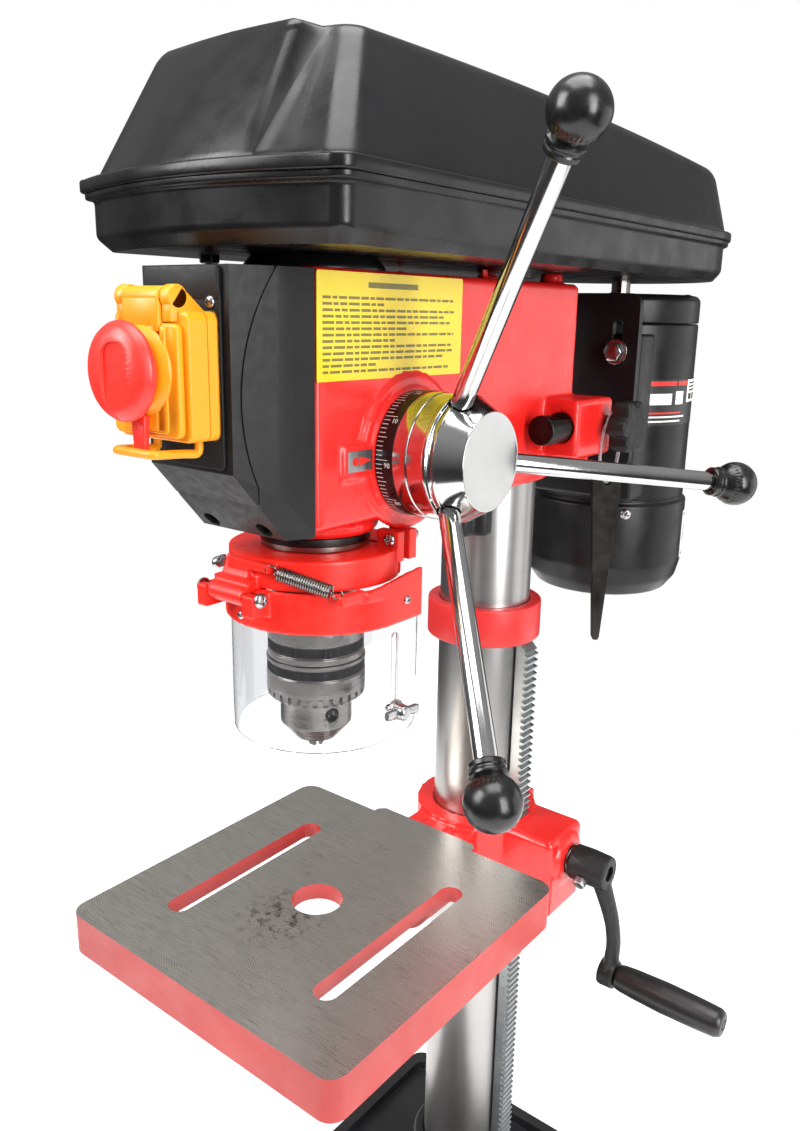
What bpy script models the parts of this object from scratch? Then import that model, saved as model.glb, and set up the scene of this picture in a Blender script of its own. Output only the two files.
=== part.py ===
"""Bench drill press with a round column, a tilting table and a belt drive under a cover.

Frame: metres, +Z up, +X to the machine's right (the feed handle's side), +Y to the back (the motor).
The origin is on the column's axis at the floor. Lengths below are in millimetres.
"""
import math

import bmesh
import bpy
from mathutils import Matrix, Vector

MM = 0.001
GAP = 0.3

# column, base and rack
COLUMN_RADIUS = 30.0
COLUMN_BORE = 26.0
COLUMN_TOP = 700.0
BASE_HALF_WIDTH = 105.0
BASE_FRONT = -266.0
BASE_BACK = 84.0
BASE_RIM = 27.0
BASE_FLOOR = 18.0
BASE_PAD = 20.0
FLANGE_TOP = 70.0
RACK_COLLAR_BOTTOM = 485.0
RACK_COLLAR_TOP = 514.0
RACK_INNER = COLUMN_RADIUS + 0.5
RACK_TIP = 40.0
RACK_HALF_WIDTH = 7.0

# gear teeth, shared by the table lift and the quill feed
MODULE = 1.5
ADDENDUM = 0.8 * MODULE
DEDENDUM = 1.1 * MODULE
PRESSURE = math.radians(20)
PINION_TEETH = 14
PITCH_RADIUS = MODULE * PINION_TEETH / 2
TOOTH_PITCH = math.pi * MODULE
BACKLASH = 0.35

# head
HEAD_HALF_WIDTH = 38.0
HEAD_FRONT = -206.0
HEAD_BACK = 37.0
HEAD_BOTTOM = 592.0
HEAD_TOP = 712.5
SPINDLE_Y = -166.0
QUILL_RADIUS = 25.0
QUILL_BORE = 12.0
FEED_Y = SPINDLE_Y + 19.5 + PITCH_RADIUS
FEED_Z = 624.5
BAR_X = 50.0
BAR_Z = 627.0
BAR_RADIUS = 9.0
TENSION_KNOB = (38.0, BAR_Z)
DEPTH_KNOB = (24.0, -62.0)

# chuck
CHUCK_RADIUS = 26.7
CHUCK_TOP = 536.0
CHUCK_NOSE_RADIUS = 19.5
CHUCK_NOSE_BOTTOM = 467.6
SLEEVE_BOTTOM = 492.5
SLEEVE_TOP = 515.7
CHUCK_MOUTH = 13.0
JAW_BOTTOM = 461.5
KEY_HOLE = (math.radians(-21), 485.5)

# guard
GUARD_CENTRE = SPINDLE_Y + 3.5
GUARD_INNER = 47.6
GUARD_OUTER = 50.0
SHIELD_INNER = 45.5
SHIELD_OUTER = 47.2
COLLAR_BOTTOM = 561.3
COLLAR_TOP = 576.6
GUARD_BOTTOM = 540.0
GUARD_TOP = 561.0
GUARD_PIVOT_Y = -217.7
GUARD_PIVOT_Z = 558.0
SHIELD_BOTTOM = 476.0
SHIELD_TOP = 560.0
HINGE_LEFT = -21.0
HINGE_RIGHT = 3.5
GUARD_ARM_END = -138.0
WING_NUT = (-156.5, 491.4)

# belt cover
PAN_BOTTOM = 719.0
PAN_TOP = 744.7
LID_BOTTOM = 745.0
RIM_TOP = 751.0
COVER_HALF_WIDTH = 84.0
COVER_REAR_CENTRE = 144.0
COVER_FRONT = -240.0
LID_TOP_FRONT = 807.0
LID_TOP_FALL = 16.0
CROWN_FRONT = -216.0
CREASE_FOOT = 42.0
SHEET = 2.6
LID_LIP = 1.5

# pulleys
STEP_HEIGHT = 11.0
PULLEY_BOTTOM = 728.0
IDLER_Y = 10.0
ARM_PIVOT = (34.0, -24.0)
SPINDLE_STEPS = (54.0, 44.0, 35.0, 27.0)
IDLER_STEPS = (28.0, 38.0, 46.0, 52.0)
MOTOR_STEPS = (32.0, 28.0, 24.0, 20.0)
GROOVE_DEPTH = 4.0
BELT_THICKNESS = 4.5
BELT_GAP = 1.0

# motor
MOTOR_Y = 172.0
MOTOR_RADIUS = 59.0
MOTOR_BOTTOM = 484.0
MOTOR_SEAM = 689.0
MOTOR_TOP = 709.5
PLATE_FRONT = 98.5
PLATE_BACK = 103.5
PLATE_SLOT_X = 35.5

# table, bracket and crank
TABLE_HALF_WIDTH = 101.0
TABLE_FRONT = -264.0
TABLE_BACK = -65.5
TABLE_TOP = 362.0
TABLE_PLATE = 10.0
TABLE_SKIRT = 24.0
TABLE_TONGUE_BACK = -58.0
TABLE_HOLE = 15.0
SLOT_X = 57.0
SLOT_FRONT = -227.0
SLOT_BACK = -105.0
SLOT_HALF = 7.0
TILT_Z = 332.0
BRACKET_BOTTOM = 300.0
BRACKET_TOP = 360.0
BRACKET_RADIUS = 42.0
LIFT_GEAR_X = RACK_TIP - ADDENDUM + PITCH_RADIUS
LIFT_GEAR_Z = 318.0
CRANK_Z = 340.0
CRANK_DROP = 72.0

# feed handle
DIAL_RADIUS = 31.8
HUB_START = 60.3
HUB_FACE = 88.0
HUB_RADIUS = 30.0
HUB_FACE_RADIUS = 23.8
ROD_RADIUS = 5.2
ROD_ROOT = (64.0, 10.0)
ROD_TIP = (155.0, 151.0)
KNOB_RADIUS = 12.2
FIRST_ROD_ANGLE = math.radians(-22)

# front of the head
COVER_NOSE = -247.0
COVER_SLOPE_TOP = 622.0
COVER_SLOPE_FOOT = (29.0, -222.0, 588.0)
COVER_CORNER_FACING = (0.85, -0.44, -0.3)
SWITCH_BACK = -249.6
SWITCH_FRONT = -266.0
SWITCH_HALF_WIDTH = 24.5
SWITCH_BOTTOM = 639.0
SWITCH_TOP = 692.5
LID_HINGE_Z = 698.0
STOP_Z = 668.0
BUTTON_Z = (657.0, 675.0)


# ---------------------------------------------------------------- materials

def material(name, colour, roughness, metallic=0.0, alpha=1.0):
    found = bpy.data.materials.get(name)
    if found:
        return found
    made = bpy.data.materials.new(name)
    made.use_nodes = True
    made.diffuse_color = (*colour, alpha)
    shader = made.node_tree.nodes["Principled BSDF"]
    shader.inputs["Base Color"].default_value = (*colour, 1.0)
    shader.inputs["Roughness"].default_value = roughness
    shader.inputs["Metallic"].default_value = metallic
    shader.inputs["Alpha"].default_value = alpha
    return made


PAINTS = {
    "red_paint": ((0.72, 0.02, 0.02), 0.35, 0.0),
    "black_paint": ((0.015, 0.015, 0.016), 0.4, 0.0),
    "black_plastic": ((0.02, 0.02, 0.021), 0.45, 0.0),
    "steel": ((0.55, 0.55, 0.55), 0.3, 1.0),
    "dark_steel": ((0.05, 0.05, 0.05), 0.4, 1.0),
    "chrome": ((0.85, 0.85, 0.86), 0.06, 1.0),
    "zinc": ((0.6, 0.62, 0.64), 0.35, 1.0),
    "cast_alloy": ((0.5, 0.5, 0.5), 0.45, 1.0),
    "yellow_plastic": ((0.95, 0.5, 0.02), 0.35, 0.0),
    "red_plastic": ((0.8, 0.03, 0.02), 0.35, 0.0),
    "green_plastic": ((0.03, 0.35, 0.08), 0.4, 0.0),
    "black_knob": ((0.01, 0.01, 0.01), 0.1, 0.0),
    "rubber": ((0.02, 0.02, 0.02), 0.8, 0.0),
    "clear": ((0.9, 0.92, 0.95), 0.05, 0.0),
}


def paint(name, kind):
    colour, roughness, metallic = PAINTS[kind]
    return material(name, colour, roughness, metallic, 0.3 if kind == "clear" else 1.0)


# ---------------------------------------------------------------- mesh helpers

def put(name, bm, kind):
    """A finished mesh in millimetres becomes a named object in metres."""
    bmesh.ops.remove_doubles(bm, verts=bm.verts, dist=1e-5)
    bmesh.ops.recalc_face_normals(bm, faces=bm.faces)
    bmesh.ops.scale(bm, vec=(MM, MM, MM), verts=bm.verts)
    mesh = bpy.data.meshes.new(name)
    bm.to_mesh(mesh)
    bm.free()
    mesh.materials.append(paint(name, kind))
    mesh.shade_smooth()
    mesh.set_sharp_from_angle(angle=math.radians(35))
    made = bpy.data.objects.new(name, mesh)
    bpy.context.collection.objects.link(made)
    return made


def loft(name, rings, kind):
    """A closed solid through rings of equal length, each a list of (x, y, z)."""
    bm = bmesh.new()
    rows = [[bm.verts.new(point) for point in ring] for ring in rings]
    count = len(rows[0])
    for low, high in zip(rows, rows[1:]):
        for i in range(count):
            j = (i + 1) % count
            bm.faces.new((low[i], low[j], high[j], high[i]))
    bm.faces.new(rows[0])
    bm.faces.new(rows[-1])
    return put(name, bm, kind)


def prism(name, outline, axis, start, end, kind):
    """An outline in the other two axes, in X, Y, Z order, carried along an axis."""
    def at(point, height):
        spot = list(point)
        spot.insert("XYZ".index(axis), height)
        return spot
    return loft(name, [[at(p, h) for p in outline] for h in (start, end)], kind)


def block(name, low, high, kind, round_edges=0.0):
    outline = [(low[0], low[1]), (high[0], low[1]), (high[0], high[1]), (low[0], high[1])]
    made = prism(name, outline, "Z", low[2], high[2], kind)
    if round_edges:
        bevel = made.modifiers.new("soft_edges", "BEVEL")
        bevel.width = round_edges * MM
        bevel.segments = 1
    return made


def turn(name, profile, kind, axis=(0, 0, 1), centre=(0, 0, 0), sides=20):
    """A profile of (radius, height) pairs turned about an axis through centre; a closed ring if it
    never reaches radius 0."""
    bm = bmesh.new()
    rows = []
    for radius, height in profile:
        if radius == 0:
            rows.append([bm.verts.new((0, 0, height))])
            continue
        turns = [2 * math.pi * i / sides for i in range(sides)]
        rows.append([bm.verts.new((radius * math.cos(a), radius * math.sin(a), height)) for a in turns])
    pairs = list(zip(rows, rows[1:]))
    if profile[0][0] and profile[-1][0]:
        pairs.append((rows[-1], rows[0]))
    for low, high in pairs:
        for i in range(sides):
            j = (i + 1) % sides
            corners = [low[i % len(low)], low[j % len(low)], high[j % len(high)], high[i % len(high)]]
            loop = list(dict.fromkeys(corners))
            if len(loop) > 2:
                bm.faces.new(loop)
    turned = Vector((0, 0, 1)).rotation_difference(Vector(axis)).to_matrix().to_4x4()
    bmesh.ops.transform(bm, matrix=Matrix.Translation(centre) @ turned, verts=bm.verts)
    return put(name, bm, kind)


def rod(name, radius, start, end, kind="steel", sides=16):
    """A plain cylinder between two points."""
    span = Vector(end) - Vector(start)
    profile = [(0, 0), (radius, 0), (radius, span.length), (0, span.length)]
    return turn(name, profile, kind, span.normalized(), start, sides)


def tube(name, inner, outer, low, high, kind, centre=(0, 0, 0), sides=20):
    profile = [(inner, low), (outer, low), (outer, high), (inner, high)]
    return turn(name, profile, kind, centre=centre, sides=sides)


def combine(target, tool, operation):
    """Adds a Boolean step to target; the tool becomes a hidden guide."""
    step = target.modifiers.new(tool.name, "BOOLEAN")
    step.operation = operation
    step.solver = "EXACT"
    step.object = tool
    tool.hide_render = True
    tool.display_type = "WIRE"
    return target


def cut(target, *tools):
    for tool in tools:
        combine(target, tool, "DIFFERENCE")
    return target


def join(target, *tools):
    for tool in tools:
        combine(target, tool, "UNION")
    return target


def pivot(made, point):
    """Moves an object's origin to a point of its joint's axis, leaving its shape in place."""
    spot = Vector(point) * MM
    made.data.transform(Matrix.Translation(-spot))
    made.location = spot
    return made


def rounded_rectangle(low, high, radius, steps=4):
    corners = (
        (high[0] - radius, high[1] - radius, 0),
        (low[0] + radius, high[1] - radius, 90),
        (low[0] + radius, low[1] + radius, 180),
        (high[0] - radius, low[1] + radius, 270),
    )
    points = []
    for x, y, first in corners:
        for i in range(steps + 1):
            angle = math.radians(first + 90 * i / steps)
            points.append((x + radius * math.cos(angle), y + radius * math.sin(angle)))
    return points


def slot(name, centre_x, low_y, high_y, half, bottom, top):
    """A cutter with round ends, long in Y."""
    outline = rounded_rectangle((centre_x - half, low_y), (centre_x + half, high_y), half * 0.999, 5)
    return prism(name, outline, "Z", bottom, top, "steel")


def lobed_outline(radius, depth, lobes, steps=6):
    points = []
    for i in range(lobes * steps):
        angle = 2 * math.pi * i / (lobes * steps)
        reach = radius - depth * (1 - math.cos(lobes * angle)) / 2
        points.append((reach * math.cos(angle), reach * math.sin(angle)))
    return points


def gear_outline(teeth, turned=0.0):
    """Involute teeth thinned by the backlash, as (x, y) about the gear's axis."""
    pitch = MODULE * teeth / 2
    base = pitch * math.cos(PRESSURE)
    root = pitch - DEDENDUM
    tip = pitch + ADDENDUM
    half_tooth = math.pi / (2 * teeth) - BACKLASH / (2 * pitch)
    spread = math.tan(PRESSURE) - PRESSURE

    def flank(radius):
        if radius <= base:
            return half_tooth + spread
        press = math.acos(base / radius)
        return half_tooth + spread - (math.tan(press) - press)

    radii = [root, base, pitch, tip]
    points = []
    for tooth in range(teeth):
        middle = turned + 2 * math.pi * tooth / teeth
        side = [(r, flank(r)) for r in radii]
        for radius, half in side:
            points.append((radius * math.cos(middle - half), radius * math.sin(middle - half)))
        for radius, half in reversed(side):
            points.append((radius * math.cos(middle + half), radius * math.sin(middle + half)))
    return points


def rack_teeth(base, tip, low, count):
    """A rack's toothed edge as (depth, height) pairs, rising from low; tips lie at tip."""
    pitch_line = tip - ADDENDUM
    root = pitch_line - DEDENDUM
    points = []
    for tooth in range(count):
        centre = low + TOOTH_PITCH * (tooth + 0.5)
        for depth in (root, tip):
            half = TOOTH_PITCH / 4 - BACKLASH / 2 - (depth - pitch_line) * math.tan(PRESSURE)
            points.append((depth, centre - half))
        for depth in (tip, root):
            half = TOOTH_PITCH / 4 - BACKLASH / 2 - (depth - pitch_line) * math.tan(PRESSURE)
            points.append((depth, centre + half))
    return points


# ---------------------------------------------------------------- base and column

def make_base():
    footprint = rounded_rectangle((-BASE_HALF_WIDTH, BASE_FRONT), (BASE_HALF_WIDTH, BASE_BACK), 12)
    base = prism("base", footprint, "Z", 0, BASE_RIM, "black_paint")
    inset = 9
    low = (-BASE_HALF_WIDTH + inset, BASE_FRONT + inset)
    high = (BASE_HALF_WIDTH - inset, BASE_BACK - inset)
    recess = prism("base_recess", rounded_rectangle(low, high, 8), "Z", BASE_FLOOR, BASE_RIM + 5, "steel")
    cut(base, recess)
    seat = turn("base_seat", [(0, 10), (60, 10), (60, BASE_PAD), (0, BASE_PAD)], "steel")
    work = block("base_work_pad", (-78, -252, 10), (78, -92, BASE_RIM - 1), "steel")
    join(base, seat, work)
    for side in (-1, 1):
        cut(base, slot(f"base_slot_{side}", side * 46, -236, -108, 6.5, -5, 40))
    return base


def make_column_flange():
    profile = [
        (COLUMN_RADIUS + GAP, BASE_PAD + GAP),
        (56, BASE_PAD + GAP),
        (56, 31),
        (44, 35),
        (39, 44),
        (38, FLANGE_TOP),
        (COLUMN_RADIUS + GAP, FLANGE_TOP),
    ]
    return turn("column_flange", profile, "black_paint", sides=24)


def make_column():
    return tube("column", COLUMN_BORE, COLUMN_RADIUS, BASE_PAD + GAP, COLUMN_TOP, "steel", sides=24)


def make_rack():
    bottom = FLANGE_TOP + GAP
    top = RACK_COLLAR_BOTTOM - GAP
    teeth = 60
    low = LIFT_GEAR_Z - TOOTH_PITCH * 47
    edge = rack_teeth(RACK_INNER, RACK_TIP, low, teeth)
    outline = [(RACK_INNER, bottom), (RACK_TIP, bottom), *[(x, z) for x, z in edge]]
    outline += [(RACK_TIP, edge[-1][1] + 2), (RACK_TIP, top - 8), (RACK_INNER + 3, top), (RACK_INNER, top)]
    rack = prism("rack", outline, "Y", -RACK_HALF_WIDTH, RACK_HALF_WIDTH, "zinc")
    return pivot(rack, (0, 0, bottom))


def make_rack_collar():
    ring = [
        (COLUMN_RADIUS + GAP, RACK_COLLAR_BOTTOM),
        (37, RACK_COLLAR_BOTTOM),
        (38, RACK_COLLAR_BOTTOM + 3),
        (38, RACK_COLLAR_TOP - 3),
        (36, RACK_COLLAR_TOP),
        (COLUMN_RADIUS + GAP, RACK_COLLAR_TOP),
    ]
    return turn("rack_collar", ring, "red_paint", sides=24)


# ---------------------------------------------------------------- head

def make_head_casting():
    corner = 34
    outline = [(HEAD_FRONT, HEAD_TOP), (HEAD_FRONT, HEAD_BOTTOM)]
    for i in range(6):
        angle = math.radians(-90 + 18 * i)
        across = HEAD_BACK - corner + corner * math.cos(angle)
        outline.append((across, HEAD_BOTTOM + corner + corner * math.sin(angle)))
    outline.append((HEAD_BACK, HEAD_TOP))
    head = prism("head_casting", outline, "X", -HEAD_HALF_WIDTH, HEAD_HALF_WIDTH, "red_paint")
    bevel = head.modifiers.new("soft_edges", "BEVEL")
    bevel.width = 2.5 * MM
    bevel.segments = 1
    lugs = [
        block(
            f"head_lug_{side}",
            (min(side * 30, side * 62), -1.5, 608),
            (max(side * 30, side * 62), 46, 644),
            "steel",
            2.0,
        )
        for side in (-1, 1)
    ]
    boss = turn(
        "head_boss",
        [(0, 584.3), (31, 584.3), (33, 587), (33, 600), (0, 600)],
        "steel",
        centre=(0, SPINDLE_Y, 0),
    )
    feed_boss = rod("head_feed_boss", 33, (-38.5, FEED_Y, FEED_Z), (41, FEED_Y, FEED_Z), sides=24)
    pads = [
        rod(f"head_pad_{x}_{y}", 7, (x, y, HEAD_TOP - 6), (x, y, PAN_BOTTOM - GAP), sides=12)
        for x in (-24, 24)
        for y in (-60, 24)
    ]
    join(head, *lugs, boss, feed_boss, *pads)
    pocket = block("head_pocket", (-30, -112, 606), (30, -42, 760), "steel")
    quill_bore = rod(
        "head_quill_bore", QUILL_RADIUS + GAP, (0, SPINDLE_Y, 500), (0, SPINDLE_Y, 760), sides=24
    )
    socket = rod("head_column_socket", COLUMN_RADIUS + GAP, (0, 0, 500), (0, 0, COLUMN_TOP + GAP), sides=24)
    pinion_bore = rod("head_pinion_bore", 13, (-60, FEED_Y, FEED_Z), (60, FEED_Y, FEED_Z), sides=16)
    bars = [
        rod(f"head_bar_bore_{side}", BAR_RADIUS + GAP, (side * BAR_X, -20, BAR_Z),
            (side * BAR_X, 90, BAR_Z))
        for side in (-1, 1)
    ]
    knob_hole = rod("head_knob_hole", 4.3, (*DEPTH_KNOB, 580), (*DEPTH_KNOB, 604), sides=12)
    cut(head, pocket, quill_bore, socket, pinion_bore, *bars, knob_hole)
    return head


def make_depth_lock_knob():
    """A lobed knob under the head whose screw runs up into the casting."""
    x, y = DEPTH_KNOB
    outline = [(x + u, y + v) for u, v in lobed_outline(16, 4, 5)]
    knob = prism("depth_lock_knob", outline, "Z", 568, 584, "black_plastic")
    join(knob, rod("depth_lock_screw", 4, (x, y, 580), (x, y, 600), sides=12))
    return pivot(knob, (x, y, 584))


def nose_outline(wall):
    """The front cover's side outline, wall deep inside its skin."""
    return [
        (HEAD_FRONT - GAP + (wall * 4 if wall else 0), 711.5 - wall),
        (COVER_NOSE + wall, 711.5 - wall),
        (COVER_NOSE + wall, COVER_SLOPE_TOP + wall * 0.4),
        (COVER_SLOPE_FOOT[1] + wall * 0.4, COVER_SLOPE_FOOT[2] + wall),
        (HEAD_FRONT - GAP + (wall * 4 if wall else 0), COVER_SLOPE_FOOT[2] + 3 + wall),
    ]


def nose_plan(wall):
    """The front cover's plan outline: straight cheeks that draw in to the switch plate."""
    wide = HEAD_HALF_WIDTH - wall
    narrow = 28 - wall
    back = HEAD_FRONT - GAP + (wall * 4 if wall else 0)
    return [
        (-wide, back),
        (-wide, -219),
        (-wide + 1.8, -226),
        (-narrow, COVER_NOSE + wall),
        (narrow, COVER_NOSE + wall),
        (wide - 1.8, -226),
        (wide, -219),
        (wide, back),
    ]


def cover_corner(side, wall):
    """Takes off the lower corner where a cheek meets the slope, wall deep inside the skin."""
    facing = Vector((side * COVER_CORNER_FACING[0], *COVER_CORNER_FACING[1:])).normalized()
    spot = Vector((side * COVER_SLOPE_FOOT[0], *COVER_SLOPE_FOOT[1:])) - facing * wall
    return rod(f"cover_corner_{side}_{wall}", 60, spot, spot + facing * 40, sides=12)


def nose_body(name, wall):
    body = prism(name, nose_outline(wall), "X", -60, 60, "black_plastic")
    combine(body, prism(f"{name}_plan", nose_plan(wall), "Z", 560, 740, "steel"), "INTERSECT")
    return cut(body, cover_corner(-1, wall), cover_corner(1, wall))


def make_front_cover():
    return cut(nose_body("front_cover", 0), nose_body("front_cover_inside", 3))


def make_switch_plate():
    return block("switch_plate", (-24, -249.3, 626), (24, COVER_NOSE - GAP, 711), "black_plastic")


def make_switch_box():
    low = (-SWITCH_HALF_WIDTH, SWITCH_FRONT, SWITCH_BOTTOM)
    high = (SWITCH_HALF_WIDTH, SWITCH_BACK, SWITCH_TOP)
    box = block("switch_box", low, high, "yellow_plastic", 2.0)
    wells = [
        block(f"switch_well_{z:.0f}", (-10, -268, z - 8), (10, -254, z + 8), "steel")
        for z in BUTTON_Z
    ]
    ears = []
    for side in (-1, 1):
        low = (side * 15 - 3, -270, 688)
        high = (side * 15 + 3, SWITCH_BACK, 703)
        ears.append(block(f"switch_ear_{side}", low, high, "steel"))
    catch = block("switch_catch", (-8, -268, 631), (8, -255, 641), "steel", 1.5)
    join(box, *ears, catch)
    pin = rod("switch_hinge_bore", 2.3, (-30, -266.5, LID_HINGE_Z), (30, -266.5, LID_HINGE_Z), sides=10)
    return cut(box, *wells, pin)


def make_buttons():
    made = []
    buttons = (("off_button", BUTTON_Z[0], "red_plastic"), ("start_button", BUTTON_Z[1], "green_plastic"))
    for name, z, kind in buttons:
        button = block(name, (-9.6, -264.6, z - 7.6), (9.6, -258.5, z + 7.6), kind, 1.0)
        made.append(pivot(button, (0, -260, z)))
    return made


def make_switch_lid():
    """A hinged plate over the buttons, with a knuckle between the ears and a hole for the stop head."""
    lid = block("switch_lid", (-22, -271, 641), (22, SWITCH_FRONT - GAP, 687.5), "yellow_plastic", 1.2)
    knuckle = rod("lid_knuckle", 4.2, (-11.7, -266.5, LID_HINGE_Z), (11.7, -266.5, LID_HINGE_Z), sides=12)
    web = block("lid_web", (-11.7, -271, 684), (11.7, -267, LID_HINGE_Z + 1), "steel")
    pin = rod("lid_pin", 2, (-18, -266.5, LID_HINGE_Z), (18, -266.5, LID_HINGE_Z), sides=10)
    rim = turn(
        "lid_ring",
        [(8, 0), (19, 0), (17, 4), (8, 4)],
        "steel",
        axis=(0, -1, 0),
        centre=(0, -270, STOP_Z),
        sides=16,
    )
    join(lid, knuckle, web, pin, rim)
    cut(lid, rod("lid_hole", 6.4, (0, -290, STOP_Z), (0, -250, STOP_Z), sides=12))
    return pivot(lid, (0, -266.5, LID_HINGE_Z))


def make_stop_button():
    """A large domed stop head with a thumb recess and a stem through the lid."""
    profile = [(0, 0), (6, 0), (6, 10.5), (19, 10.5), (20.5, 13), (20.5, 18), (18.5, 21), (0, 21.5)]
    centre = (0, -267.5, STOP_Z)
    button = turn("stop_button", profile, "red_plastic", axis=(0, -1, 0), centre=centre, sides=16)
    thumb = rod("stop_thumb", 8, (4, -286, STOP_Z - 6), (4, -298, STOP_Z - 6), sides=12)
    cut(button, thumb)
    return pivot(button, (0, -267.5, STOP_Z))


# ---------------------------------------------------------------- belt cover and drive

def cover_outline(half, front, rear_centre, rear_radius, corner=16.0, bulge=14.0):
    """Half is the straight sides' half width; the front bows out and the rear is a half circle."""
    points = []
    for i in range(13):
        angle = math.pi * i / 12
        points.append((rear_radius * math.cos(angle), rear_centre + rear_radius * math.sin(angle)))
    side = [i / 5 for i in range(1, 5)]
    for t in side:
        depth = rear_centre + (front + corner - rear_centre) * t
        points.append((-rear_radius + (rear_radius - half) * t, depth))
    for i in range(4):
        angle = math.radians(180 + 30 * i)
        depth = front + corner + corner * math.sin(angle)
        points.append((-half + corner + corner * math.cos(angle), depth))
    inner = half - corner
    for i in range(1, 6):
        t = -1 + i / 3
        points.append((inner * t, front - bulge * (1 - t * t)))
    for i in range(4):
        angle = math.radians(270 + 30 * i)
        points.append((half - corner + corner * math.cos(angle), front + corner + corner * math.sin(angle)))
    for t in reversed(side):
        depth = rear_centre + (front + corner - rear_centre) * t
        points.append((rear_radius + (half - rear_radius) * t, depth))
    return points


def level(outline, z):
    return [(x, y, z) for x, y in outline]


def make_belt_pan():
    wall = cover_outline(81, COVER_FRONT + 3, COVER_REAR_CENTRE, 81, 8)
    foot = cover_outline(76, COVER_FRONT + 8, COVER_REAR_CENTRE, 76, 8)
    rim = cover_outline(COVER_HALF_WIDTH, COVER_FRONT, COVER_REAR_CENTRE, COVER_HALF_WIDTH, 8)
    rings = [level(foot, PAN_BOTTOM), level(wall, PAN_BOTTOM + 6), level(wall, 739)]
    rings += [level(rim, 739), level(rim, PAN_TOP)]
    pan = loft("belt_pan", rings, "black_paint")
    inner = cover_outline(70, COVER_FRONT + 14, COVER_REAR_CENTRE, 70)
    wide = cover_outline(75, COVER_FRONT + 9, COVER_REAR_CENTRE, 75)
    inside = loft(
        "belt_pan_inside",
        [level(inner, PAN_BOTTOM + 3), level(wide, PAN_BOTTOM + 8), level(wide, PAN_TOP + 5)],
        "steel",
    )
    spindle_hole = rod("pan_spindle_hole", 16, (0, SPINDLE_Y, 700), (0, SPINDLE_Y, 730))
    idler_hole = rod("pan_idler_hole", 6.3, (*ARM_PIVOT, 700), (*ARM_PIVOT, 730), sides=12)
    shaft_slot = slot("pan_shaft_slot", 0, MOTOR_Y - 26, MOTOR_Y + 17, 10, 700, 730)
    return cut(pan, inside, spindle_hole, idler_hole, shaft_slot)


def lid_top(y):
    """Height of the lid's top face, falling faster towards the rear."""
    share = max(0.0, min(1.1, (y - CROWN_FRONT) / 363))
    return LID_TOP_FRONT - LID_TOP_FALL * share * share


def lid_foot(wall):
    """The lid's outline where it meets its rim. Point for point it matches lid_crown."""
    half = COVER_HALF_WIDTH - 3 - wall
    front = COVER_FRONT + 3 + wall
    corner = 14.0
    inner = half - corner
    points = half_round(half, COVER_REAR_CENTRE)
    points += straight((-half, COVER_REAR_CENTRE), (-half, front + corner), 4)
    for i in range(4):
        angle = math.radians(180 + 30 * i)
        points.append((-inner + corner * math.cos(angle), front + corner + corner * math.sin(angle)))
    for x in (-48, -32, -16, 0, 14, 28, CREASE_FOOT - 0.6, CREASE_FOOT, 54):
        points.append((x, front - 14 * (1 - (x / inner) ** 2)))
    for i in range(4):
        angle = math.radians(270 + 30 * i)
        points.append((inner + corner * math.cos(angle), front + corner + corner * math.sin(angle)))
    return points + straight((half, front + corner), (half, COVER_REAR_CENTRE), 4)


def lid_crown(spread):
    """The lid's top edge: a flat front panel whose right end stands ahead of the side's own corner."""
    rear = 70 + spread
    points = half_round(rear, COVER_REAR_CENTRE - 4)
    front = CROWN_FRONT - spread
    points += straight((-rear, COVER_REAR_CENTRE - 4), (-52 - spread, front + 8), 4)
    points += [(-52 - spread, front + 8), (-51.4 - spread, front + 6), (-50 - spread, front + 4.8)]
    points.append((-47 - spread, front + 4))
    for i in range(6):
        points.append((-37 + 12.6 * i, front + 3.2 - 0.6 * i))
    points += [(38 + spread * 0.5, front), (40 + spread * 0.5, front + 15), (46 + spread, front + 17)]
    points += [(49.5 + spread, front + 18.5), (52 + spread, front + 20.5), (53.4 + spread, front + 23)]
    points.append((54 + spread, front + 26))
    return points + straight((54 + spread, front + 26), (rear, COVER_REAR_CENTRE - 4), 4)


def half_round(radius, centre):
    turns = [math.pi * i / 12 for i in range(13)]
    return [(radius * math.cos(angle), centre + radius * math.sin(angle)) for angle in turns]


def straight(start, end, count):
    """Points between two ends, without the ends."""
    return [
        (start[0] + (end[0] - start[0]) * i / (count + 1), start[1] + (end[1] - start[1]) * i / (count + 1))
        for i in range(1, count + 1)
    ]


def lid_shell(name, wall, kind):
    foot = lid_foot(wall)
    bottom = LID_BOTTOM if not wall else LID_BOTTOM - 5
    rings = [level(foot, bottom), level(foot, RIM_TOP)]
    rings.append([(x, y, lid_top(y) - 4 - wall) for x, y in lid_crown(3 - wall)])
    rings.append([(x, y, lid_top(y) - wall) for x, y in lid_crown(-wall)])
    return loft(name, rings, kind)


def make_belt_lid():
    lid = lid_shell("belt_lid", 0, "black_paint")
    reach = COVER_HALF_WIDTH + LID_LIP
    rim = cover_outline(reach, COVER_FRONT - LID_LIP, COVER_REAR_CENTRE, reach, 8)
    join(lid, prism("belt_lid_rim", rim, "Z", LID_BOTTOM, RIM_TOP, "steel"))
    cut(lid, lid_shell("belt_lid_inside", SHEET, "steel"))
    return pivot(lid, (-reach - 0.2, 0, LID_BOTTOM - 0.15))


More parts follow.
